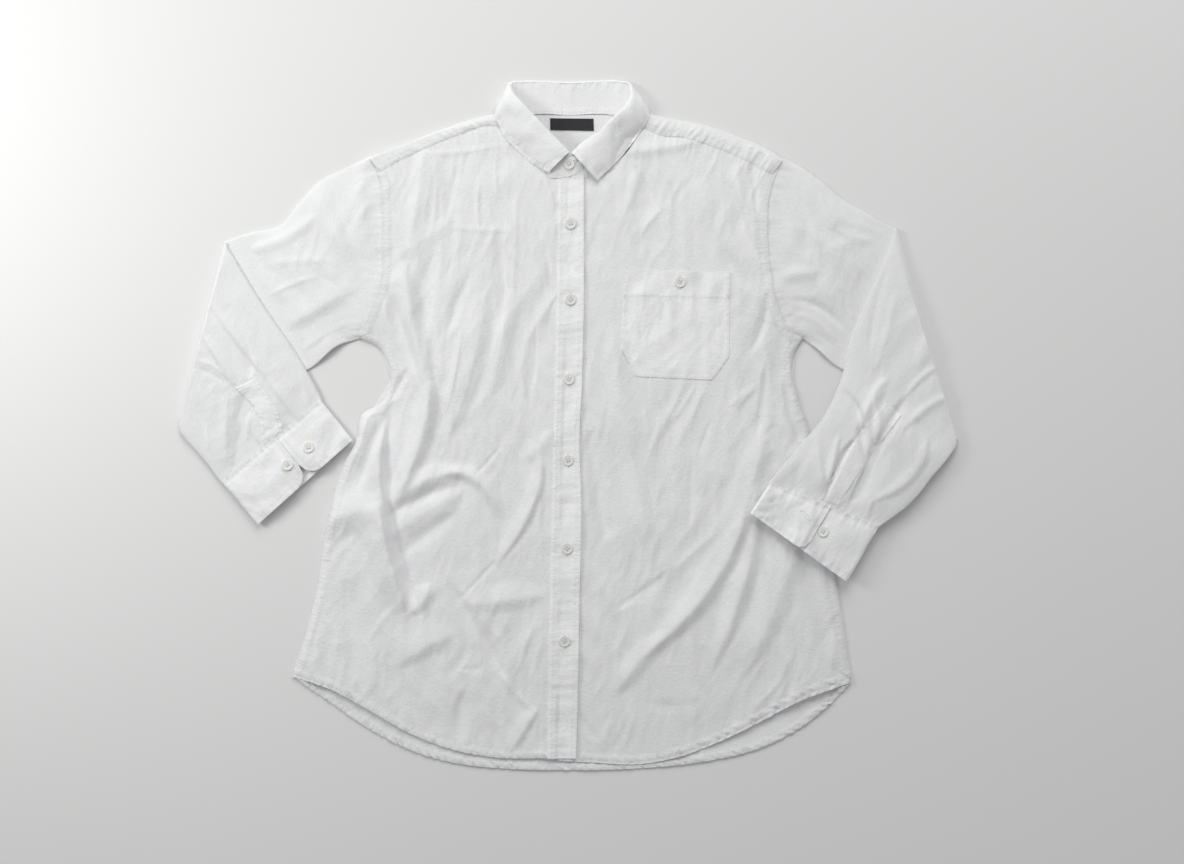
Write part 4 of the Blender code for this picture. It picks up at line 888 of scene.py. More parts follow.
# The patch pocket.
# One piece with two cut corners, turned in and stitched round, with a hem band along its top.
# The band holds its mouth flat, and the button passes through it.
POCKET = ((63, 178), (59, 87), (76, 56), (163, 52), (182, 78), (183, 175))  # from top left, round the bottom
POCKET_HEM_ROW = ((65, 148), (181, 145.5))
POCKET_HEM = 30.0
POCKET_STITCH = 2.0
POCKET_THICK = 0.8
POCKET_RISE, POCKET_EDGE = 0.85, 0.35  # of its top over the front, and how much lower its edge is
HEM_RISE, HEM_DIP = 0.4, 0.15  # of the hem band, and of its row of stitches
POCKET_WAVE, POCKET_MOUTH = 1.5, 0.9  # the last is how far its mouth stands up
POCKET_COLS, POCKET_CUT_ROWS, POCKET_SIDE_ROWS = 85, 21, 65


def straight_runs(points, step=1.2):
    """A line with corners, as closely spaced points."""
    p = np.array(points, float)
    runs = [np.linspace(a, b, int(np.linalg.norm(b - a) / step) + 2) for a, b in zip(p, p[1:])]
    return joined(*runs)


def past_line(x, y, start, end):
    """How far a plan point lies to the right of the line from start to end."""
    along = np.array([end[0] - start[0], end[1] - start[1]], float)
    along /= np.linalg.norm(along)
    return (np.asarray(x) - start[0]) * along[1] - (np.asarray(y) - start[1]) * along[0]


def make_pocket():
    top_left, left_cut, bottom_left, bottom_right, right_cut, top_right = np.array(POCKET, float)
    left, right = [
        joined(np.linspace(bottom, cut, POCKET_CUT_ROWS), np.linspace(cut, top, POCKET_SIDE_ROWS))
        for bottom, cut, top in ((bottom_left, left_cut, top_left), (bottom_right, right_cut, top_right))
    ]
    u = np.linspace(0, 1, POCKET_COLS)[None, :, None]
    plan = between(left, right, u)
    x, y = plan[..., 0], plan[..., 1]
    rim, hem = Seam(straight_runs(POCKET)), Seam(straight_runs(POCKET_HEM_ROW))
    edge, along = rim.measure(x, y)
    to_hem, along_hem = hem.measure(x, y)
    down = past_line(x, y, top_left, top_right)
    height = Surface(front_right).draped(plan, radius=2.5) + POCKET_RISE - POCKET_EDGE * ramp(edge, 0, 2.0)
    height += HEM_RISE * ramp(down, POCKET_HEM - 1.5, POCKET_HEM + 1.0) - HEM_DIP * groove(to_hem, 0)
    height += gathers(along, edge, seed=31, spacing=7.0, reach=22.0, rise=0.45)
    height += gathers(along_hem, to_hem, seed=32, spacing=5.0, reach=14.0, rise=0.6) * (1 - ramp(edge, 0, 7))
    waves = noise(along_hem / 13, to_hem / 45 + y / 60, seed=33)
    height += POCKET_WAVE * waves * (1 - ramp(edge, 0, 10)) * ramp(to_hem, 25, 55)
    height += 0.8 * crumpled(x, y, seed=300, turns=(90, 60, 120)) * (1 - ramp(edge, 0, 12))
    across_mouth = np.clip((x - top_left[0]) / (top_right[0] - top_left[0]), 0, 1)
    height += POCKET_MOUTH * ramp(down, 0, 14) * np.sin(np.pi * across_mouth) ** 2
    seams = seam_map(x, y, (rim, POCKET_STITCH, 1), (hem, 0, 0))
    pocket = laid_sheet("patch-pocket", plan, height, seams, pressed, POCKET_THICK)
    finish_cloth(pocket, "pocket", width=136, length=160, held="laid", rests_on=["right-front"])
    return pocket


pocket = make_pocket()

# The collar.
# Its stand is a double band round the neck, its upper end over its lower one under the top
# button. Its leaf turns over the stand: it lies on the fronts, and under the stand at the back.
STAND_HEIGHT = 38.0
STAND_LAP = 1.7  # how far the upper end lies above the lower one
StandEnd = namedtuple("StandEnd", "seam_x seam_y top_x top_y drop over")
STAND_END_LEFT = StandEnd(16, 291, 12, 304, 0.5, STAND_LAP)
STAND_END_RIGHT = StandEnd(-13, 281, -11, 302, 1.0, 0.0)
BACK_NECK_Y, BACK_STAND_Z = 350.0, 1.1  # beyond this y, the stand's seam is so far above the table
STAND_COLS, STAND_ROWS, STAND_STEP = 260, 22, 1.8
STAND_STITCH = 3.0
LEAF_COLS, LEAF_TURN_ROWS, LEAF_FALL_ROWS = 300, 7, 26
LEAF_START, LEAF_TURN = 0.2, 1.6  # where the leaf leaves the stand's edge, and the radius of its turn
LEAF_BOW = 4.5  # how far the leaf bows up between its turn and its edge
LEAF_LEVEL = 0.7  # height of its edge at the back
LEAF_GAP = 0.35  # over what it lies on
LEAF_FREE_ROW = 5  # the first row past its turn, where its relief starts
TIP_LIFT = 3.0
COLLAR_STITCH = 5.5
COLLAR_WAVE = 1.5  # of the leaf, along it
Ring = namedtuple("Ring", "seam_x seam_y roll_x roll_y roll_z edge_x edge_y over")
COLLAR = (
    Ring(0, 285.5, -1, 311, 15.0, -24, 289.5, 1),
    Ring(-22, 284, -15, 325, 16.5, -36, 296, 1),
    Ring(-40, 295, -29, 339, 17.5, -50, 306, 1),
    Ring(-54, 309, -43, 354, 17.5, -66, 321, 1),
    Ring(-64, 325, -56, 368, 16.0, -78, 337, 1),
    Ring(-69, 343, -65, 381, 12.0, -85.5, 356, 1),
    Ring(-62, 353, -67, 391, 6.5, -82, 368, 0),
    Ring(-46, 356.6, -55, 393.4, 4.0, -62, 363.5, 0),
    Ring(0, 356.6, 0, 392.4, 3.5, 0, 363, 0),
    Ring(50, 356.6, 57, 393.4, 4.0, 64, 363.5, 0),
    Ring(66, 353, 68, 390, 6.5, 85, 368, 0),
    Ring(75, 342, 69, 377, 12.0, 90.5, 355, 1),
    Ring(71, 326, 62, 362, 16.0, 81, 337, 1),
    Ring(60, 309, 49, 349, 17.5, 69, 321, 1),
    Ring(45, 295, 33, 335, 16.0, 54, 304, 1),
    Ring(26, 286.5, 17, 323, 14.0, 42, 291, 1),
    Ring(4, 280.5, 3, 310, 12.0, 31, 281, 1),
)


def collar_seam_height(x, y, over):
    if y > BACK_NECK_Y:
        return BACK_STAND_Z
    return float(body_height([x], [y], ())[0]) + 0.3 + over


def across_wall(grid):
    """Directions out of a curved grid of points."""
    out = np.cross(np.gradient(grid, axis=0), np.gradient(grid, axis=1))
    return out / np.linalg.norm(out, axis=2)[..., None]


def stand_end(end, roll_z):
    """The line up an end of the stand, from its seam to its top edge."""
    seam_z = collar_seam_height(end.seam_x, end.seam_y, end.over)
    return end.seam_x, end.seam_y, seam_z, end.top_x, end.top_y, roll_z - end.drop


def make_stand():
    lines = []
    for number, ring in enumerate(COLLAR):
        seam_z = collar_seam_height(ring.seam_x, ring.seam_y, STAND_LAP * float(ramp(number, 0, 3)))
        lines.append((ring.seam_x, ring.seam_y, seam_z, ring.roll_x, ring.roll_y, ring.roll_z))
    left, right = stand_end(STAND_END_LEFT, COLLAR[0].roll_z), stand_end(STAND_END_RIGHT, COLLAR[-1].roll_z)
    lines = smooth_line([left, *lines, right], STAND_COLS)
    share = np.linspace(0, 1, STAND_ROWS)[None, :, None]
    grid = between(lines[:, :3], lines[:, 3:], share)
    down = np.broadcast_to(share[..., 0] * STAND_HEIGHT, grid.shape[:2])
    along = np.broadcast_to(np.arange(STAND_COLS)[:, None] * STAND_STEP, grid.shape[:2])
    relief = gathers(along, down, seed=51, spacing=6.0, reach=30.0, rise=0.8)
    relief += 0.5 * noise(along / 25, down / 40, seed=52)
    relief += gathers(along, STAND_HEIGHT - down, seed=53, spacing=4.0, reach=26.0, rise=1.0)
    grid = grid + across_wall(grid) * relief[..., None]
    stand = soft_wall("collar-stand-band", grid, (along, seam_rows(down, STAND_STITCH, 1)), pressed, DOUBLE)
    rests_on = ["left-front", "right-front", "shoulder-yoke"]
    finish_cloth(stand, "collar_stand", width=480, length=40, held="folded", rests_on=rests_on)
    return stand


def make_leaf():
    body = Surface(front_right, front_left, yoke, band)
    lines = []
    for number, ring in enumerate(COLLAR):
        seam = ring.seam_x, ring.seam_y, collar_seam_height(ring.seam_x, ring.seam_y, 0)
        tip = TIP_LIFT * float(ramp(min(number, len(COLLAR) - 1 - number), 0, 1.8))
        rest = body.reach(ring.edge_x, ring.edge_y, radius=1.5) - 0.2 + tip if ring.over else LEAF_LEVEL
        roll = ring.roll_x, ring.roll_y, ring.roll_z
        lines.append((*seam, *roll, ring.edge_x, ring.edge_y, rest, ring.over))
    lines = smooth_line(lines, LEAF_COLS)
    seam, roll, edge, over = lines[:, :3], lines[:, 3:6], lines[:, 6:9], np.clip(lines[:, 9:], 0, 1)
    rise = roll - seam
    rise /= np.linalg.norm(rise, axis=1)[:, None]
    outer = np.cross(rise, np.gradient(roll, axis=0))
    outer /= np.linalg.norm(outer, axis=1)[:, None]
    first = roll + LEAF_START * rise
    rows = []
    for angle in np.radians(np.linspace(0, 150, LEAF_TURN_ROWS)):
        rows.append(first + LEAF_TURN * (math.sin(angle) * rise + (1 - math.cos(angle)) * outer))
    start = rows.pop()
    for t in np.linspace(0, 1, LEAF_FALL_ROWS):
        lift = np.array([0, 0, 1.0]) * over * LEAF_BOW * math.sin(math.pi * t) ** 0.8 * (1 - 0.35 * t)
        rows.append(start * (1 - t) + edge * t + lift)
    grid = np.array(rows).transpose(1, 0, 2)
    to_edge = np.linalg.norm(np.diff(grid, axis=1), axis=2)[:, ::-1].cumsum(1)[:, ::-1]
    to_edge = np.hstack([to_edge, np.zeros((LEAF_COLS, 1))])
    run = np.concatenate([[0], np.cumsum(np.linalg.norm(np.diff(edge, axis=0), axis=1))])
    to_end = np.minimum(run, run[-1] - run)[:, None] + 0 * to_edge
    inside = np.minimum(to_edge, to_end)
    along = run[:, None] + 0.3 * to_edge
    relief = gathers(along, inside, seed=61, spacing=5.5, reach=18.0, rise=0.8, slant=0.3)
    relief -= ROW_DIP * groove(inside, COLLAR_STITCH)
    relief += COLLAR_WAVE * noise(along / 24, to_edge / 17, seed=62)
    relief += 0.5 * crumpled(along, to_edge, seed=63, turns=(20, 80, 130))
    falling = np.arange(grid.shape[1]) >= LEAF_FREE_ROW
    out = across_wall(grid)
    out *= np.sign(out[:, -8:-1, 2].mean())
    grid = grid + out * (relief * falling[None])[..., None]
    lowest = (body.draped(grid[..., :2], radius=2.0) + LEAF_GAP) * (over > 0.5)
    grid[..., 2] = np.maximum(grid[..., 2], np.maximum(lowest, LEAF_LEVEL))
    seams = along, seam_rows(inside, COLLAR_STITCH, 1)
    leaf = soft_wall("collar-leaf-fold", grid, seams, pressed, DOUBLE)
    rests_on = ["left-front", "right-front", "collar-stand-band"]
    finish_cloth(leaf, "collar_leaf", width=480, length=55, held="folded", rests_on=rests_on)


stand = make_stand()
make_leaf()

# The neck label.
# A bare black woven label, heat cut at its ends and folded in at its long edges. A row of black
# thread along either long edge holds it to the yoke inside the neck.
LABEL = ((-23.0, 353.0), (27.0, 352.5), (-22.5, 339.5), (27.5, 338.5))  # its top corners, then the others
LABEL_WIDTH, LABEL_HEIGHT, LABEL_THICK = 50.0, 13.5, 0.4
LABEL_ROWS, LABEL_COLS = 21, 61
LABEL_RISE, LABEL_FOLDED = 0.75, 0.12  # of its top over the yoke, and more where its edges are folded in
LABEL_WAVE = 0.25
LABEL_BLACK, LABEL_DUSTY = (0.010, 0.010, 0.012), (0.030, 0.030, 0.034)
LABEL_STITCH = 2.4
RIB_ACROSS, RIB_DOWN, RIB_DEPTH = 0.30, 0.22, 0.05


def label_material():
    material, make, shader = new_material("black woven label", 0.62)
    uv, u, v, along, away = cloth_maps(make)
    off = (away - EDGE_ROW).math("ABSOLUTE")
    stitch = ((along * (1 / LABEL_STITCH)).math("FRACT") - 0.5).math("ABSOLUTE").math("LESS_THAN", 0.38)
    thread = (1.2 - off * 3.0).math("MULTIPLY", 1.0, clamp=True) * stitch
    bump(woven(u, v, RIB_ACROSS, RIB_DOWN) * RIB_DEPTH + thread * 0.2, shader, strength=0.9)
    dust = make.node("ShaderNodeTexNoise", {}, {"Vector": uv, "Scale": 900.0, "Detail": 2.0})
    shade = (dust * 0.5 + thread * 0.5).math("MULTIPLY", 0.8, clamp=True)
    link(mixed(shade, LABEL_BLACK, LABEL_DUSTY), shader, "Base Color")
    return material


def make_label():
    top_left, top_right, low_left, low_right = np.array(LABEL)
    u, v = np.linspace(0, 1, LABEL_COLS)[None, :, None], np.linspace(0, 1, LABEL_ROWS)[:, None, None]
    left, right = low_left * (1 - v) + top_left * v, low_right * (1 - v) + top_right * v
    plan = left * (1 - u) + right * u
    along = np.broadcast_to(u[..., 0] * LABEL_WIDTH, plan.shape[:2])
    across = np.broadcast_to(v[..., 0] * LABEL_HEIGHT, plan.shape[:2])
    edge = np.minimum(across, LABEL_HEIGHT - across)
    height = Surface(yoke).draped(plan, radius=2.0, step=2) + LABEL_RISE + LABEL_FOLDED * ramp(edge, 1.5, 2.2)
    height += LABEL_WAVE * noise(along / 14, across / 12, seed=90)
    label = laid_sheet("neck-label", plan, height, (along, edge), label_material(), LABEL_THICK)
    finish_cloth(label, "label", width=52, length=14.5, held="laid", rests_on=["shoulder-yoke"], slot="label")


make_label()

# The sleeves.
# Each is one tube, flat on the table from the armhole to the elbow, where it is folded over, so
# that the lower arm comes back on top. The right one reaches on to the body.
FLOOR = CLOTH / 2 + 0.05  # middle of the lowest layer of cloth
PINCH = 2.0  # between a sleeve's two layers at its edges
LEAST_SWELL, LEAST_TOP = 0.2, 1.6  # what the upper layer keeps over that, and over the floor
EDGE_BOW = 1.3  # how far the cloth's turn reaches out at an edge
FOREARM_DEEPER, FOREARM_FINER = 1.5, 0.7  # of the lower arm's folds and creases, beside the upper arm's
UPPER_SWELL, FOREARM_SWELL, SWELL_AT_CUFF = 5.5, 5.0, 1.6
FOLDED_LEVEL, FREE_LEVEL, BODY_LEVEL, OVER_BODY = 3.4, 3.0, 10.0, 1.3
UNDER_FELL = 1.7  # how far below the front's edge the sleeve is tucked
TUCK, TUCK_FELT = 0.9, 2.0  # how far in under the front it reaches, and how far in the front is felt
ACROSS, UPPER_ROWS, LOWER_ROWS, ELBOW_ROWS = 96, 100, 118, 9
TURN_ROWS = 4  # of the lower arm's rows, which the fold at the elbow takes the place of
EDGE_STEPS = (-60, -30, 0, 30, 60)  # degrees round a sleeve's edge
PAST_ROWS, FAR_OFF = 2.0, 99.0  # off the stitch rows of a seam, which the sleeves have none of
Across = namedtuple("Across", "ux uy lx ly")
UPPER_LEFT = (
    Across(-262, 291.5, -268, 92), Across(-287, 279.5, -297, 68), Across(-311, 254, -330, 55),
    Across(-333, 228, -365, 41), Across(-366, 220, -405, 25.5), Across(-397, 209, -448, 9),
)
LOWER_LEFT = (
    Across(-397, 209, -448, 9), Across(-387, 192, -447, -3), Across(-368, 160, -441, -13),
    Across(-347, 127, -432, -23), Across(-326, 97, -423, -33), Across(-308, 69, -414, -44),
    Across(-295, 46, -406, -55), Across(-286, 28, -398, -65),
)
UPPER_RIGHT = (
    Across(262, 297.5, 283, 90), Across(286, 281, 303, 72), Across(312, 259, 335, 54),
    Across(340, 243, 372, 32), Across(361, 231, 410, 9), Across(376, 224, 445, -15),
)
LOWER_RIGHT = (
    Across(376, 224, 445, -15), Across(366, 197, 441, -24), Across(352, 163, 432, -36),
    Across(336, 127, 422, -48), Across(322, 90, 413, -58), Across(311, 50, 401, -74),
    Across(292, 10, 385, -91), Across(262, -27, 368, -104), Across(228, -67, 353, -115),
)
SLEEVE_FOLDS_LEFT = (
    Fold(314, 186, 328, 214, 352, 262, 5, 14, 10), Fold(366, 168, 362, 200, 368, 240, 2.4, 10, 10),
    Fold(384, 172, 368, 182, 355, 198, 1.6, 4, 4), Fold(380, 197, 366, 210, 354, 236, 1.6, 5, 5),
    Fold(318, 215, 285, 238, 245, 250, 4, 10, 9), Fold(232, 253, 255, 243, 290, 228, -2.4, 7, 7),
    Fold(262, 300, 290, 286, 322, 276, 1, 4, 4), Fold(274, 334, 306, 315, 358, 288, 2.6, 8, 18),
    Fold(278, 344, 310, 326, 354, 304, -1.0, 9, 8), Fold(312, 272, 335, 285, 358, 305, -0.9, 2.5, 2.5),
    Fold(300, 352, 322, 338, 350, 322, 2, 8, 6), Fold(262, 268, 290, 262, 330, 262, 1, 6, 6),
)
FOREARM_FOLDS_LEFT = (
    Fold(214, 306, 240, 342, 268, 378, 2.4, 4, 8), Fold(268, 378, 285, 400, 298, 420, 1.6, 4, 7),
    Fold(204, 335, 222, 362, 237, 386, 2.2, 4, 8), Fold(192, 360, 215, 367, 236, 385, 0.9, 2, 2),
    Fold(190, 366, 212, 374, 232, 388, -0.8, 2, 2), Fold(247, 386, 245, 430, 238, 482, -4.2, 13, 18),
    Fold(229, 396, 227, 430, 227, 465, 1.6, 9, 5), Fold(300, 364, 306, 390, 310, 414, 1.8, 3, 7),
    Fold(246, 345, 252, 362, 250, 378, -1.6, 8, 5), Fold(208, 424, 209, 438, 210, 452, 1, 3, 3),
    Fold(262, 290, 285, 330, 300, 365, 1, 6, 6), Fold(284, 422, 288, 430, 292, 438, -1.2, 3, 3),
    Fold(200, 400, 204, 420, 212, 440, -1, 6, 6), Fold(250, 410, 248, 430, 246, 452, 1.4, 5, 5),
)
SLEEVE_FOLDS_RIGHT = (
    Fold(778, 178, 788, 212, 792, 250, 2.2, 8, 10), Fold(822, 192, 828, 215, 836, 228, 2, 12, 14),
    Fold(800, 190, 806, 225, 802, 262, -1.4, 8, 8), Fold(772, 276, 795, 275, 816, 272, 2.6, 9, 9),
    Fold(790, 300, 825, 312, 850, 340, -2.4, 5, 6), Fold(786, 314, 815, 322, 838, 346, 1.6, 5, 5),
    Fold(800, 330, 820, 336, 832, 350, -1.2, 4, 4), Fold(820, 255, 850, 243, 880, 240, 1, 8, 8),
    Fold(838, 290, 846, 305, 848, 320, -1, 6, 6),
)
FOREARM_FOLDS_RIGHT = (
    Fold(888, 262, 876, 300, 868, 352, -2.2, 6, 6), Fold(896, 290, 886, 330, 876, 368, 1.4, 7, 7),
    Fold(887, 378, 868, 402, 858, 432, 3.4, 6, 9), Fold(857, 424, 859, 445, 866, 466, -3, 4, 4),
    Fold(872, 398, 876, 425, 872, 447, 2.6, 5, 5), Fold(870, 418, 870, 434, 871, 446, -2, 3, 3),
    Fold(905, 398, 882, 432, 862, 466, -4, 7, 9), Fold(878, 436, 864, 470, 848, 502, -4.5, 3, 18),
    Fold(816, 428, 818, 460, 823, 494, 2.8, 7, 4), Fold(838, 434, 831, 462, 829, 486, 2.8, 5, 4),
    Fold(853, 440, 838, 462, 824, 498, -4, 4, 5), Fold(948, 396, 925, 408, 900, 430, 2, 6, 6),
    Fold(924, 438, 912, 474, 872, 500, 3, 9, 6), Fold(866, 520, 867, 508, 872, 498, 1.6, 4, 4),
    Fold(938, 366, 920, 378, 904, 396, 1.4, 4, 4), Fold(838, 388, 858, 412, 864, 452, -3.2, 8, 3),
    Fold(930, 330, 922, 350, 916, 372, 1.2, 8, 8), Fold(800, 462, 796, 478, 800, 492, -2, 8, 8),
    Fold(912, 420, 925, 435, 930, 450, -1.2, 8, 8),
)
UNDERARM_LEFT = ((-448, 9), (-305, 64))  # below it the lower arm lies beside its upper arm
UNDERARM_RIGHT = ((308, 67), (445, -13))
BODY_EDGE = ((262, 60), (306, -180))
share_across = np.linspace(0, 1, ACROSS)[None, :, None]
bulge = np.sin(math.pi * share_across[..., 0]) ** 0.55
right_body = Surface(front_right)


def left_level(x, y):
    """The left lower arm lies on its upper arm, and beside it near the table."""
    beyond = past_line(x, y, *UNDERARM_LEFT)
    return FREE_LEVEL + (FOLDED_LEVEL - FREE_LEVEL) * ramp(beyond, 4, 45)


def right_level(x, y):
    """The right lower arm lies on its upper arm, then on the front, and bridges the step beside them."""
    beyond = past_line(x, y, *UNDERARM_RIGHT)
    level = FREE_LEVEL + (FOLDED_LEVEL - FREE_LEVEL) * ramp(beyond, 4, 45)
    off_body = past_line(x, y, *BODY_EDGE)
    level = level + (BODY_LEVEL - level) * ramp(off_body, -15, 60) * ramp(-beyond, -40, 10)
    on_front = [right_body.reach(a, b, radius=14.0) for a, b in zip(np.atleast_1d(x), np.atleast_1d(y))]
    return np.maximum(level, np.array(on_front) + OVER_BODY)


def tube_ring(outer, inner):
    """A closed ring round both layers of a sleeve, each a line of points between its two edges."""
    across = (outer[0] - outer[-1])[:2]
    across /= np.linalg.norm(across)

    def cap(start, end, outwards):
        middle, half = (start + end) / 2, (end - start) / 2
        reach = np.array([*outwards * EDGE_BOW, 0.0])
        return [middle + half * math.sin(a) + reach * math.cos(a) for a in np.radians(EDGE_STEPS)]

    underarm, outer_edge = cap(outer[-1], inner[-1], -across), cap(inner[0], outer[0], across)
    return np.array([*outer, *underarm, *inner[::-1], *outer_edge])


def tube_rings(x, y, outer_z, inner_z):
    """The rings of a stretch of sleeve, from the plan of its rows and the heights of its layers."""
    outer, inner = np.stack([x, y, outer_z], -1), np.stack([x, y, inner_z], -1)
    return [tube_ring(*row) for row in zip(outer, inner)]


def both_layers(values):
    """A value for each place across a sleeve, as values for each point of its rings."""
    steps = len(EDGE_STEPS)
    ends = np.repeat(values[:, -1:], steps, 1), np.repeat(values[:, :1], steps, 1)
    return np.hstack([values, ends[0], values[:, ::-1], ends[1]])


# A sleeve's clear line is the edge of the lower arm that lies on the upper one. Outwards and body
# side are 1 or -1: which way the elbow points from the fold, and which way the body lies in x.
SLEEVE_PARTS = "armhole upper lower clear_line front level outwards body_side seed lift folds forearm_folds"
Sleeve = namedtuple("Sleeve", SLEEVE_PARTS)
SLEEVE_LEFT = Sleeve(
    ARMHOLE_LEFT, UPPER_LEFT, LOWER_LEFT, ((-286, 27), (-397, 209)), front_left, left_level,
    1, 1, 400, 5.0, SLEEVE_FOLDS_LEFT, FOREARM_FOLDS_LEFT,
)
SLEEVE_RIGHT = Sleeve(
    ARMHOLE_RIGHT, UPPER_RIGHT, LOWER_RIGHT, ((376, 224), (310, 40)), front_right, right_level,
    -1, -1, 500, 3.0, SLEEVE_FOLDS_RIGHT, FOREARM_FOLDS_RIGHT,
)


def upper_arm(sleeve):
    """From the armhole, where it joins the front's edge, to the elbow. Its underarm edge stands off
    the table by the sleeve's lift."""
    seam = smooth_line(sleeve.armhole, ACROSS)[::-1]
    lines = smooth_line([(*seam[0], *seam[-1]), *sleeve.upper], UPPER_ROWS)
    plan = between(lines[:, :2], lines[:, 2:], share_across)
    first = np.linalg.norm(np.array(sleeve.upper[0]) - lines[0])
    hold = np.clip(1 - np.linalg.norm(lines - lines[0], axis=1) / first, 0, 1)[:, None, None]
    plan = plan + (seam - plan[0])[None] * hold
    plan[0, :, 0] += TUCK * sleeve.body_side
    x, y = plan[..., 0], plan[..., 1]
    joint = Surface(sleeve.front).over((seam + (TUCK_FELT * sleeve.body_side, 0))[None]) - UNDER_FELL
    clear = past_line(x, y, *sleeve.clear_line)
    swell = UPPER_SWELL * (1 - ramp(clear, 4, 60)) * bulge
    creases = fold_height(x, y, sleeve.folds) + crumpled(x, y, sleeve.seed, turns=(110, 75, 140))
    away, along = Seam(sleeve.armhole).measure(x, y)
    pucker = gathers(along, away, sleeve.seed + 5, spacing=6.5, reach=40.0, rise=1.0)
    creases *= 1 - ramp(clear, 4, 26)
    lay = FLOOR + PINCH + np.maximum(swell + creases * bulge + pucker, LEAST_SWELL)
    joins = ramp(away, 0.5, 24)
    top = lay * (1 - joins) + (joint + pucker * (1 - ramp(away, 0, 3))) * joins
    top = np.maximum(top, FLOOR + LEAST_TOP)
    span = np.linalg.norm(lines[:, 2:] - lines[:, :2], axis=1)[:, None]
    raised = sleeve.lift * ramp((1 - share_across[..., 0]) * span, 0, 55)
    raised *= (1 - ramp(clear, 6, 44)) * (1 - ramp(away, 3, 40))
    low = FLOOR + raised
    return tube_rings(x, y, low, np.maximum(top, low + PINCH)), along, away, plan[-1]


def elbow(sleeve, outline):
    """The fold: both layers turn over about an axis beside the upper arm's end."""
    along = outline[-1] - outline[0]
    outwards = np.array([along[1], -along[0]]) / np.linalg.norm(along) * sleeve.outwards
    inner_low, inner_top = FLOOR + PINCH + 0.2, sleeve.level(*outline.T)
    inner_radius, outer_radius = (inner_top - inner_low) / 2, (inner_top + PINCH + 0.4 - FLOOR) / 2
    axis = outline - outwards * (outer_radius + CLOTH / 2)[:, None]
    rings = []
    for angle in np.radians(np.linspace(-75, 75, ELBOW_ROWS)):
        layers = []
        for low, radius in ((FLOOR, outer_radius), (inner_low, inner_radius)):
            spot = axis + outwards * (radius * math.cos(angle))[:, None]
            layers.append(np.column_stack([spot, low + radius * (1 + math.sin(angle))]))
        rings.append(tube_ring(*layers))
    return rings


def lower_arm(sleeve):
    """From the elbow back to the cuff's seam, which gathers it, on top of what lies below."""
    coarse = np.linspace(0, 1, 11)
    levels = []
    for row in sleeve.lower:
        places = np.outer(1 - coarse, row[:2]) + np.outer(coarse, row[2:])
        levels.append([*row, *sleeve.level(*places.T)])
    lines = smooth_line(levels, LOWER_ROWS)[TURN_ROWS:]
    plan = between(lines[:, :2], lines[:, 2:4], share_across)
    x, y = plan[..., 0], plan[..., 1]
    low = np.array([np.interp(share_across[0, :, 0], coarse, line[4:]) for line in lines])
    to_cuff = np.linalg.norm(plan - plan[-1], axis=2)
    along = np.broadcast_to(share_across[..., 0] * np.linalg.norm(plan[-1, 0] - plan[-1, -1]), x.shape)
    creases = FOREARM_DEEPER * fold_height(x, y, sleeve.forearm_folds)
    creases += FOREARM_FINER * crumpled(x, y, sleeve.seed + 200, turns=(70, 110, 40))
    creases += gathers(along, to_cuff, sleeve.seed + 9, spacing=7.0, reach=40.0, rise=1.0)
    swell = FOREARM_SWELL + (SWELL_AT_CUFF - FOREARM_SWELL) * ramp(to_cuff, 0, 34)
    top = low + PINCH + np.maximum((swell + creases) * bulge, LEAST_SWELL)
    return tube_rings(x, y, top, low), along, to_cuff


def make_sleeve(name, node, cut, sleeve):
    rings, along, away, outline = upper_arm(sleeve)
    turn = elbow(sleeve, outline)
    back, along_cuff, to_cuff = lower_arm(sleeve)
    no_seam = np.zeros((ELBOW_ROWS, len(rings[0])))
    away, to_cuff = [both_layers(OUTER_ROW + PAST_ROWS + off) for off in (away, to_cuff)]
    seams = (
        np.concatenate([both_layers(along), no_seam, both_layers(along_cuff)]),
        np.concatenate([away, no_seam + FAR_OFF, to_cuff]),
    )
    tube = soft_wall(name, np.array(rings + turn + back), seams, cotton, ring=True)
    finish_cloth(tube, node, *cut, held="folded", rests_on=["table"])
    return tube


sleeve_left = make_sleeve("left-sleeve", "sleeve_left", (440, 400), SLEEVE_LEFT)
sleeve_right = make_sleeve("right-sleeve", "sleeve_right", (440, 430), SLEEVE_RIGHT)

# The sleeve plackets.
# Narrow folded bands of shirting along each sleeve's slit, stitched down beside it. The slit's
# lower end opens into the cuff.
Strip = namedtuple("Strip", "lx ly rx ry")
SLIT_BAND_LEFT = (
    Strip(-383, 43, -360, 54), Strip(-370, 31, -347, 35), Strip(-359, 16, -335, 15), Strip(-354, 0, -330, -2),
    Strip(-352, -23, -329, -6),
)
SLIT_BAND_RIGHT = (
    Strip(362, 26, 379, 12), Strip(338, 0, 357, -17), Strip(316, -32, 336, -45), Strip(299, -60, 318, -72),
    Strip(287, -84, 306, -91),
)
SLIT_BAND_WIDTH = 22.0
SLIT_STITCH = 3.0
SLIT_ROWS, SLIT_COLS, SLIT_STEP = 71, 17, 1.4
SLIT_RISE, SLIT_EDGE = 0.7, 0.35  # of its top over the sleeve, and how much lower its edges are
SLIT_DIP, SLIT_WAVE = 0.1, 0.6  # of its rows of stitches, and along it


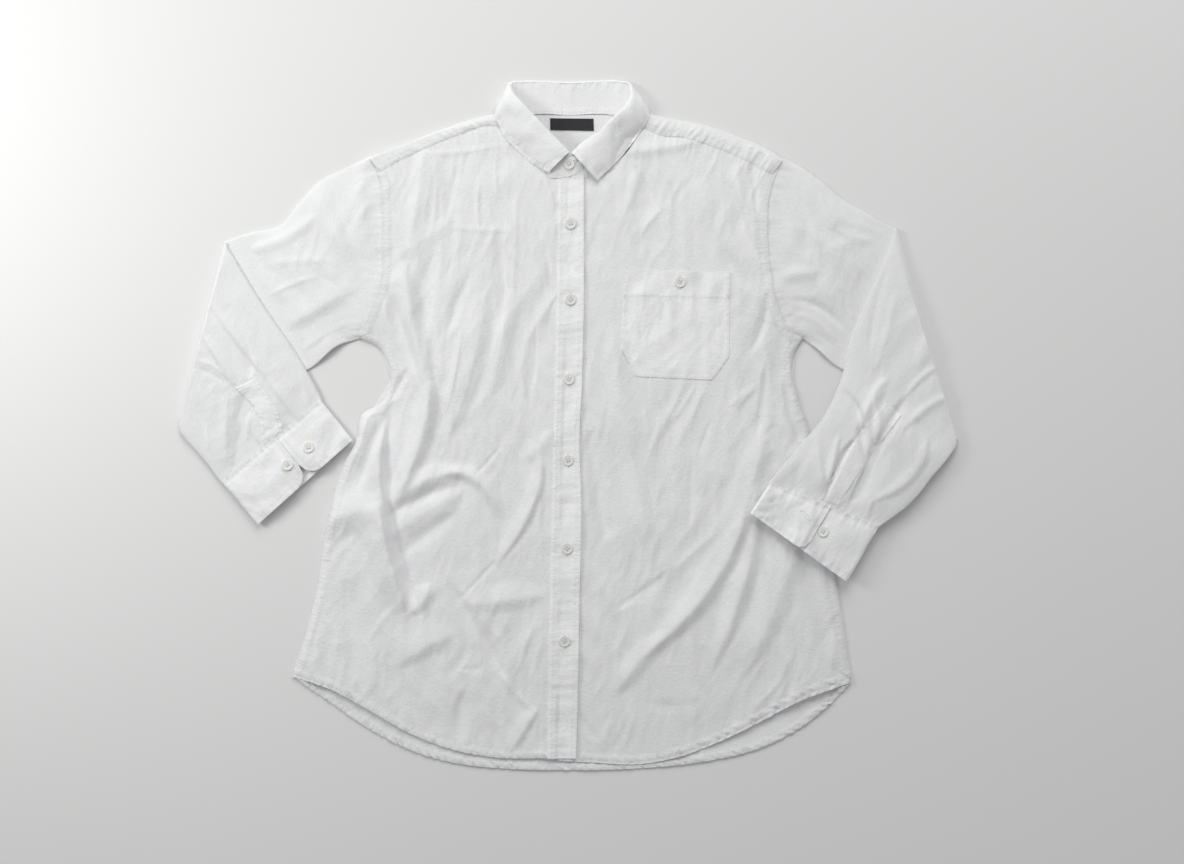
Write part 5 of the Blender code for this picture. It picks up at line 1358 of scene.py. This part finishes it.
def make_slit_band(name, node, strips, sleeve, seed):
    lines = smooth_line(strips[::-1], SLIT_ROWS)
    u = np.linspace(0, 1, SLIT_COLS)[None, :, None]
    plan = between(lines[:, :2], lines[:, 2:], u)
    edge = np.broadcast_to(np.minimum(u, 1 - u)[..., 0] * SLIT_BAND_WIDTH, plan.shape[:2])
    along = np.broadcast_to(np.arange(SLIT_ROWS)[:, None] * SLIT_STEP, edge.shape)
    to_end = np.minimum(along, along[-1] - along)
    height = Surface(sleeve).draped(plan, radius=1.2, step=1) + SLIT_RISE
    height -= SLIT_DIP * groove(edge, SLIT_STITCH, 0.9)
    height -= SLIT_EDGE * ramp(np.minimum(edge, to_end), 0, 2.2)
    height += gathers(along, edge, seed, spacing=6.0, reach=10.0, rise=0.6)
    height += SLIT_WAVE * noise(along / 13, edge / 20, seed + 1)
    slit_band = laid_sheet(name, plan, height, (along, seam_rows(edge, SLIT_STITCH, 1)), pressed)
    finish_cloth(slit_band, node, width=24, length=100, held="laid", rests_on=[sleeve.name])


make_slit_band("left-sleeve-placket", "sleeve_placket_left", SLIT_BAND_LEFT, sleeve_left, 71)
make_slit_band("right-sleeve-placket", "sleeve_placket_right", SLIT_BAND_RIGHT, sleeve_right, 72)

# The cuffs.
# Each is one strip of double cloth sewn to the sleeve's end, open at the slit, with rounded
# corners on the left one. They aren't buttoned.
Cuff = namedtuple("Cuff", "seam_0 seam_1 edge_0 edge_1 slit over corner")
CUFF_LEFT = Cuff((-286.8, 29.0), (-398.8, -64.0), (-249.5, -17), (-357, -113), 0.45, -0.001, 20.0)
CUFF_RIGHT = Cuff((228.6, -66.2), (353.6, -114.2), (206, -100), (316, -178.5), 0.40, 0.155, 13.0)
CUFF_SWELL, CUFF_RISE, CUFF_LAP = 2.6, 1.6, 2.6
CUFF_STITCH = 5.5
CUFF_SEAM, CUFF_SEAM_WIDTH, CUFF_SEAM_DIP = 4.0, 2.0, 0.9  # the dip beside the seam: place, width, depth
CUFF_GAP, CUFF_PUFF, CUFF_WAVE = 0.3, 1.6, 1.5  # under it, of its upper side, and along it
CUFF_CREASED, CUFF_UNDER = 0.9, 0.35  # share of the usual creases, and of all relief on its underside
CUFF_ROWS, CUFF_UNDER_COLS, CUFF_COL = 33, 40, 2.0
CUFF_TURN = 0.015  # share of the cuff's width where it starts to turn over at either side


def cuff_columns(cuff, length):
    """Lines down the cuff, once round it from the slit's upper end: the place across it, the angle
    round its sides, the share of its width to the nearer end, and the lap of its upper end."""
    upper_end, lower_end = cuff.slit + cuff.over, cuff.slit - min(cuff.over, 0)
    near, far = CUFF_TURN, 1 - CUFF_TURN
    lap = CUFF_LAP if cuff.over > 0 else 0.0
    first, last = int(upper_end * length / CUFF_COL), int((1 - lower_end) * length / CUFF_COL)
    columns = [(place, 90, upper_end - place, lap) for place in np.linspace(upper_end, near, first)]
    columns += [(0.0, angle, 1.0, 0.0) for angle in EDGE_STEPS[::-1]]
    columns += [(place, -90, 1.0, 0.0) for place in np.linspace(near, far, CUFF_UNDER_COLS)]
    columns += [(1.0, angle, 1.0, 0.0) for angle in EDGE_STEPS]
    columns += [(place, 90, place - lower_end, 0.0) for place in np.linspace(far, lower_end, last)]
    return np.array(columns).T[..., None]


def make_cuff(name, node, cuff, level, sleeve, seed):
    seam_0, seam_1, edge_0, edge_1 = (np.array(corner, float) for corner in cuff[:4])
    length = np.linalg.norm(seam_1 - seam_0)
    depth = np.linalg.norm(edge_0 + edge_1 - seam_0 - seam_1) / 2
    spot, angle, to_end, lap = cuff_columns(cuff, length)
    short_of_round = np.maximum(cuff.corner - to_end * length, 0.0)
    cut = (cuff.corner - np.sqrt(cuff.corner**2 - short_of_round**2)) / depth
    share = np.linspace(0, 1, CUFF_ROWS)[None] * (1 - cut)
    down = share * depth
    inside = np.minimum(np.minimum(down, depth * (1 - cut) - down), to_end * length)
    along = spot * length + 0 * down
    top_side, under_side = angle == 90, angle == -90
    opened = PINCH + CUFF_SWELL * np.sin(math.pi * np.clip(spot, CUFF_TURN, 1 - CUFF_TURN)) ** 0.6
    lift = opened * (1 + np.sin(np.radians(angle))) / 2 + lap * ramp(to_end, 0.10, 0.25)
    relief = gathers(along + 7 * angle, inside, seed, spacing=5.5, reach=26.0, rise=1.6)
    relief -= ROW_DIP * groove(inside, CUFF_STITCH)
    relief += CUFF_WAVE * noise(along / 30, down / 24 + angle, seed + 1)
    relief += CUFF_CREASED * crumpled(along, down + 3 * angle, seed + 2, turns=(20, 75, 120))
    lift = lift + relief * (top_side + CUFF_UNDER * under_side)
    lift = lift + CUFF_PUFF * np.sin(math.pi * share) * top_side
    lift = lift - CUFF_SEAM_DIP * groove(down, CUFF_SEAM, CUFF_SEAM_WIDTH) * top_side
    across, deep = spot[..., None], share[..., None]
    seam, edge = seam_0 + (seam_1 - seam_0) * across, edge_0 + (edge_1 - edge_0) * across
    plan = seam * (1 - deep) + edge * deep
    ground = np.array([level(*row.T) for row in plan])
    grid = np.dstack([plan, ground + CUFF_GAP + lift + CUFF_RISE * share])
    piece = soft_wall(name, grid, (along, seam_rows(inside, CUFF_STITCH, 1)), pressed, DOUBLE)
    finish_cloth(piece, node, width=2.05 * length, length=depth, held="folded", rests_on=[sleeve.name])
    return piece


cuff_left = make_cuff("left-cuff", "cuff_left", CUFF_LEFT, left_level, sleeve_left, 81)
cuff_right = make_cuff("right-cuff", "cuff_right", CUFF_RIGHT, right_level, sleeve_right, 82)

# The buttonholes.
# A narrow slit with close stitches of white thread all round it, through the front band, the
# pocket's hem, the stand's end and the right cuff. The buttons hide all but the ends of most.
HOLE_LENGTH, HOLE_WIDTH, HOLE_CORD = 15.0, 3.64, 0.75
HOLE_FLAT = 0.6  # height of the stitches as a share of their round form
HOLE_LIFT = 0.05
Hole = namedtuple("Hole", "name x y turn on")
HOLES = (
    Hole("stand", 1, 300, 20, stand),
    Hole("front-1", 1, 231, 90, band),
    Hole("front-2", 1, 144, 90, band),
    Hole("front-3", -1, 53, 90, band),
    Hole("front-4", -2, -40, 91, band),
    Hole("front-5", -3, -141, 91, band),
    Hole("front-6", -6, -247, 92, band),
    Hole("pocket", 126, 164, 90, pocket),
    Hole("cuff", 268.5, -102.4, -45, cuff_right),
)
THREAD_WHITE, THREAD_DARK = (0.88, 0.88, 0.88), (0.74, 0.74, 0.74)


def thread_material():
    material, make, shader = new_material("white sewing thread", 0.6)
    place = make.node("ShaderNodeTexCoord", output="Object")
    strands = make.node("ShaderNodeTexNoise", {}, {"Vector": place, "Scale": 2400.0, "Detail": 1.0})
    bump(strands, shader, depth=0.3)
    link(mixed(strands, THREAD_DARK, THREAD_WHITE), shader, "Base Color")
    return material


def model_hole():
    bpy.ops.object.select_all(action="DESELECT")
    bpy.ops.mesh.primitive_torus_add(
        major_radius=HOLE_LENGTH / 2 * MM, minor_radius=HOLE_CORD * MM, major_segments=40, minor_segments=8
    )
    loop = bpy.context.object
    bpy.ops.object.mode_set(mode="EDIT")
    bpy.ops.mesh.select_all(action="SELECT")
    bpy.ops.transform.resize(value=(1.0, HOLE_WIDTH / HOLE_LENGTH, HOLE_FLAT))
    bpy.ops.object.mode_set(mode="OBJECT")
    smooth_faces(loop)
    return loop


def copy_of(first, name, material):
    """A copy with its own mesh, which takes its place in the shirt."""
    copy = first.copy()
    copy.data = first.data.copy()
    copy.name = name
    bpy.context.collection.objects.link(copy)
    copy.data.materials.append(material)
    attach(copy, "root")
    return copy


def turned(vertex, turn):
    """A vertex's place in millimetres, turned by so many degrees seen from above."""
    c, s = math.cos(math.radians(turn)), math.sin(math.radians(turn))
    x, y, z = vertex.co / MM
    return c * x - s * y, s * x + c * y, z


def sew_hole(first, hole, material):
    """A copy of the buttonhole, bent on to the cloth point by point."""
    loop = copy_of(first, "buttonhole-" + hole.name, material)
    surface = Surface(hole.on)
    for vertex in loop.data.vertices:
        x, y, z = turned(vertex, hole.turn)
        z += surface.top(hole.x + x, hole.y + y) + HOLE_LIFT
        vertex.co = Vector((hole.x + x, hole.y + y, z)) * MM


thread = thread_material()
first_hole = model_hole()
for hole in HOLES:
    sew_hole(first_hole, hole, thread)
bpy.data.objects.remove(first_hole)

# The buttons.
# Four-hole shirt buttons of pale polished plastic, turned with a raised rim and a sunk middle,
# each sewn on with a few turns of white thread. The stand, band and pocket are buttoned up.
BUTTON, BUTTON_THICK, BUTTON_RIM, BUTTON_SUNK = 12.4, 1.5, 2.2, 0.40
RIM_CREST, BUTTON_EDGE, BUTTON_LIFT = 0.45, 0.35, 0.15
BUTTON_HOLE, BUTTON_HOLES_AT = 1.6, 1.35
STITCH_THICK, STITCH_FLAT = 0.42, 0.45
BUTTON_IVORY, BUTTON_PALE = (0.78, 0.775, 0.745), (0.88, 0.875, 0.85)
Button = namedtuple("Button", "name node x y turn on")
BUTTONS = (
    Button("stand", "button_stand", -1, 299, 20, stand),
    Button("front-1", "button_front_1", 1, 231, 8, band),
    Button("front-2", "button_front_2", 1, 144, 40, band),
    Button("front-3", "button_front_3", -1, 53, 65, band),
    Button("front-4", "button_front_4", -2, -40, 15, band),
    Button("front-5", "button_front_5", -3, -141, 52, band),
    Button("front-6", "button_front_6", -6, -247, 30, band),
    Button("pocket", "button_pocket", 126, 164, 75, pocket),
    Button("cuff-left-1", "button_cuff_left_1", -299, -25, 10, cuff_left),
    Button("cuff-left-2", "button_cuff_left_2", -323, -45, 33, cuff_left),
    Button("cuff-right", "button_cuff_right", 289, -121, 60, cuff_right),
)


def button_material():
    material, make, shader = new_material("pale button plastic", 0.30)
    shader.inputs["Coat Weight"].default_value = 0.2
    shader.inputs["Coat Roughness"].default_value = 0.2
    place = make.node("ShaderNodeTexCoord", output="Object")
    sockets = {"Vector": place, "Scale": 260.0, "Detail": 2.0, "Distortion": 1.5}
    swirl = make.node("ShaderNodeTexNoise", {}, sockets)
    link(mixed(swirl, BUTTON_IVORY, BUTTON_PALE), shader, "Base Color")
    link(swirl * 0.12 + 0.24, shader, "Roughness")
    return material


def select_faces(mesh, wanted):
    bpy.ops.mesh.select_all(action="DESELECT")
    bpy.ops.object.mode_set(mode="OBJECT")
    for face in mesh.polygons:
        face.select = wanted(face)
    bpy.ops.object.mode_set(mode="EDIT")


def model_button():
    bpy.ops.object.select_all(action="DESELECT")
    bpy.ops.mesh.primitive_cylinder_add(
        vertices=48, radius=BUTTON / 2 * MM, depth=BUTTON_THICK * MM, location=(0, 0, BUTTON_THICK / 2 * MM)
    )
    bpy.ops.object.transform_apply()
    button = bpy.context.object
    bpy.ops.object.mode_set(mode="EDIT")
    bpy.ops.mesh.select_mode(type="FACE")
    select_faces(button.data, lambda face: face.normal.z > 0.9)
    bpy.ops.mesh.inset(thickness=BUTTON_RIM * RIM_CREST * MM)
    bpy.ops.mesh.inset(thickness=BUTTON_RIM * (1 - RIM_CREST) * MM)
    bpy.ops.transform.translate(value=(0, 0, -BUTTON_SUNK * MM))
    bpy.ops.mesh.inset(thickness=0.6 * MM)
    bpy.ops.object.mode_set(mode="OBJECT")
    rounded = button.modifiers.new("rounded", "BEVEL")
    rounded.width, rounded.segments, rounded.limit_method = BUTTON_EDGE * MM, 3, "ANGLE"
    rounded.angle_limit = math.radians(50)
    bpy.ops.object.modifier_apply(modifier=rounded.name)
    for step_x, step_y in ((1, 1), (1, -1), (-1, 1), (-1, -1)):
        place = step_x * BUTTON_HOLES_AT * MM, step_y * BUTTON_HOLES_AT * MM, 0
        bpy.ops.mesh.primitive_cylinder_add(
            vertices=14, radius=BUTTON_HOLE / 2 * MM, depth=4 * BUTTON_THICK * MM, location=place
        )
        drill = bpy.context.object
        bored = button.modifiers.new("bored", "BOOLEAN")
        bored.object, bored.operation = drill, "DIFFERENCE"
        bpy.context.view_layer.objects.active = button
        bpy.ops.object.modifier_apply(modifier=bored.name)
        bpy.data.objects.remove(drill)
    smooth_faces(button)
    return button


def model_stitches():
    """Two bars of thread through the four holes, each an arch from hole to hole."""
    bars = []
    for side in (1, -1):
        bpy.ops.object.select_all(action="DESELECT")
        place = side * BUTTON_HOLES_AT * MM, 0, (BUTTON_THICK - BUTTON_SUNK - 0.15) * MM
        bpy.ops.mesh.primitive_torus_add(
            major_radius=BUTTON_HOLES_AT * MM, minor_radius=STITCH_THICK * MM,
            major_segments=20, minor_segments=8, location=place, rotation=(math.pi / 2, 0, math.pi / 2),
        )
        bars.append(bpy.context.object)
        bpy.ops.object.mode_set(mode="EDIT")
        bpy.ops.mesh.select_all(action="SELECT")
        bpy.ops.transform.resize(value=(1, 1, STITCH_FLAT), center_override=place)
        bpy.ops.object.mode_set(mode="OBJECT")
        bpy.ops.object.transform_apply()
    for bar in bars:
        bar.select_set(True)
    bpy.context.view_layer.objects.active = bars[0]
    bpy.ops.object.join()
    smooth_faces(bars[0])
    return bars[0]


def sew_on(first, name, button, material):
    """A copy of a button or its thread, tilted and moved on to the cloth under it."""
    surface = Surface(button.on)
    x, y, r = button.x, button.y, BUTTON * 0.33
    slope_x = (surface.top(x + r, y) - surface.top(x - r, y)) / (2 * r)
    slope_y = (surface.top(x, y + r) - surface.top(x, y - r)) / (2 * r)
    rest = max(
        surface.top(x + a * r, y + b * r) - a * r * slope_x - b * r * slope_y
        for a, b in ((0, 0), (1, 0), (-1, 0), (0, 1), (0, -1))
    )
    piece = copy_of(first, name, material)
    for vertex in piece.data.vertices:
        off_x, off_y, off_z = turned(vertex, button.turn)
        z = rest + BUTTON_LIFT + off_z + slope_x * off_x + slope_y * off_y
        vertex.co = Vector((x + off_x, y + off_y, z)) * MM
    return piece


first_button, first_stitches = model_button(), model_stitches()
button_plastic = button_material()
for button in BUTTONS:
    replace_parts(sew_on(first_button, "button-" + button.name, button, button_plastic), button.node)
    sew_on(first_stitches, "button-thread-" + button.name, button, thread)
bpy.data.objects.remove(first_button)
bpy.data.objects.remove(first_stitches)
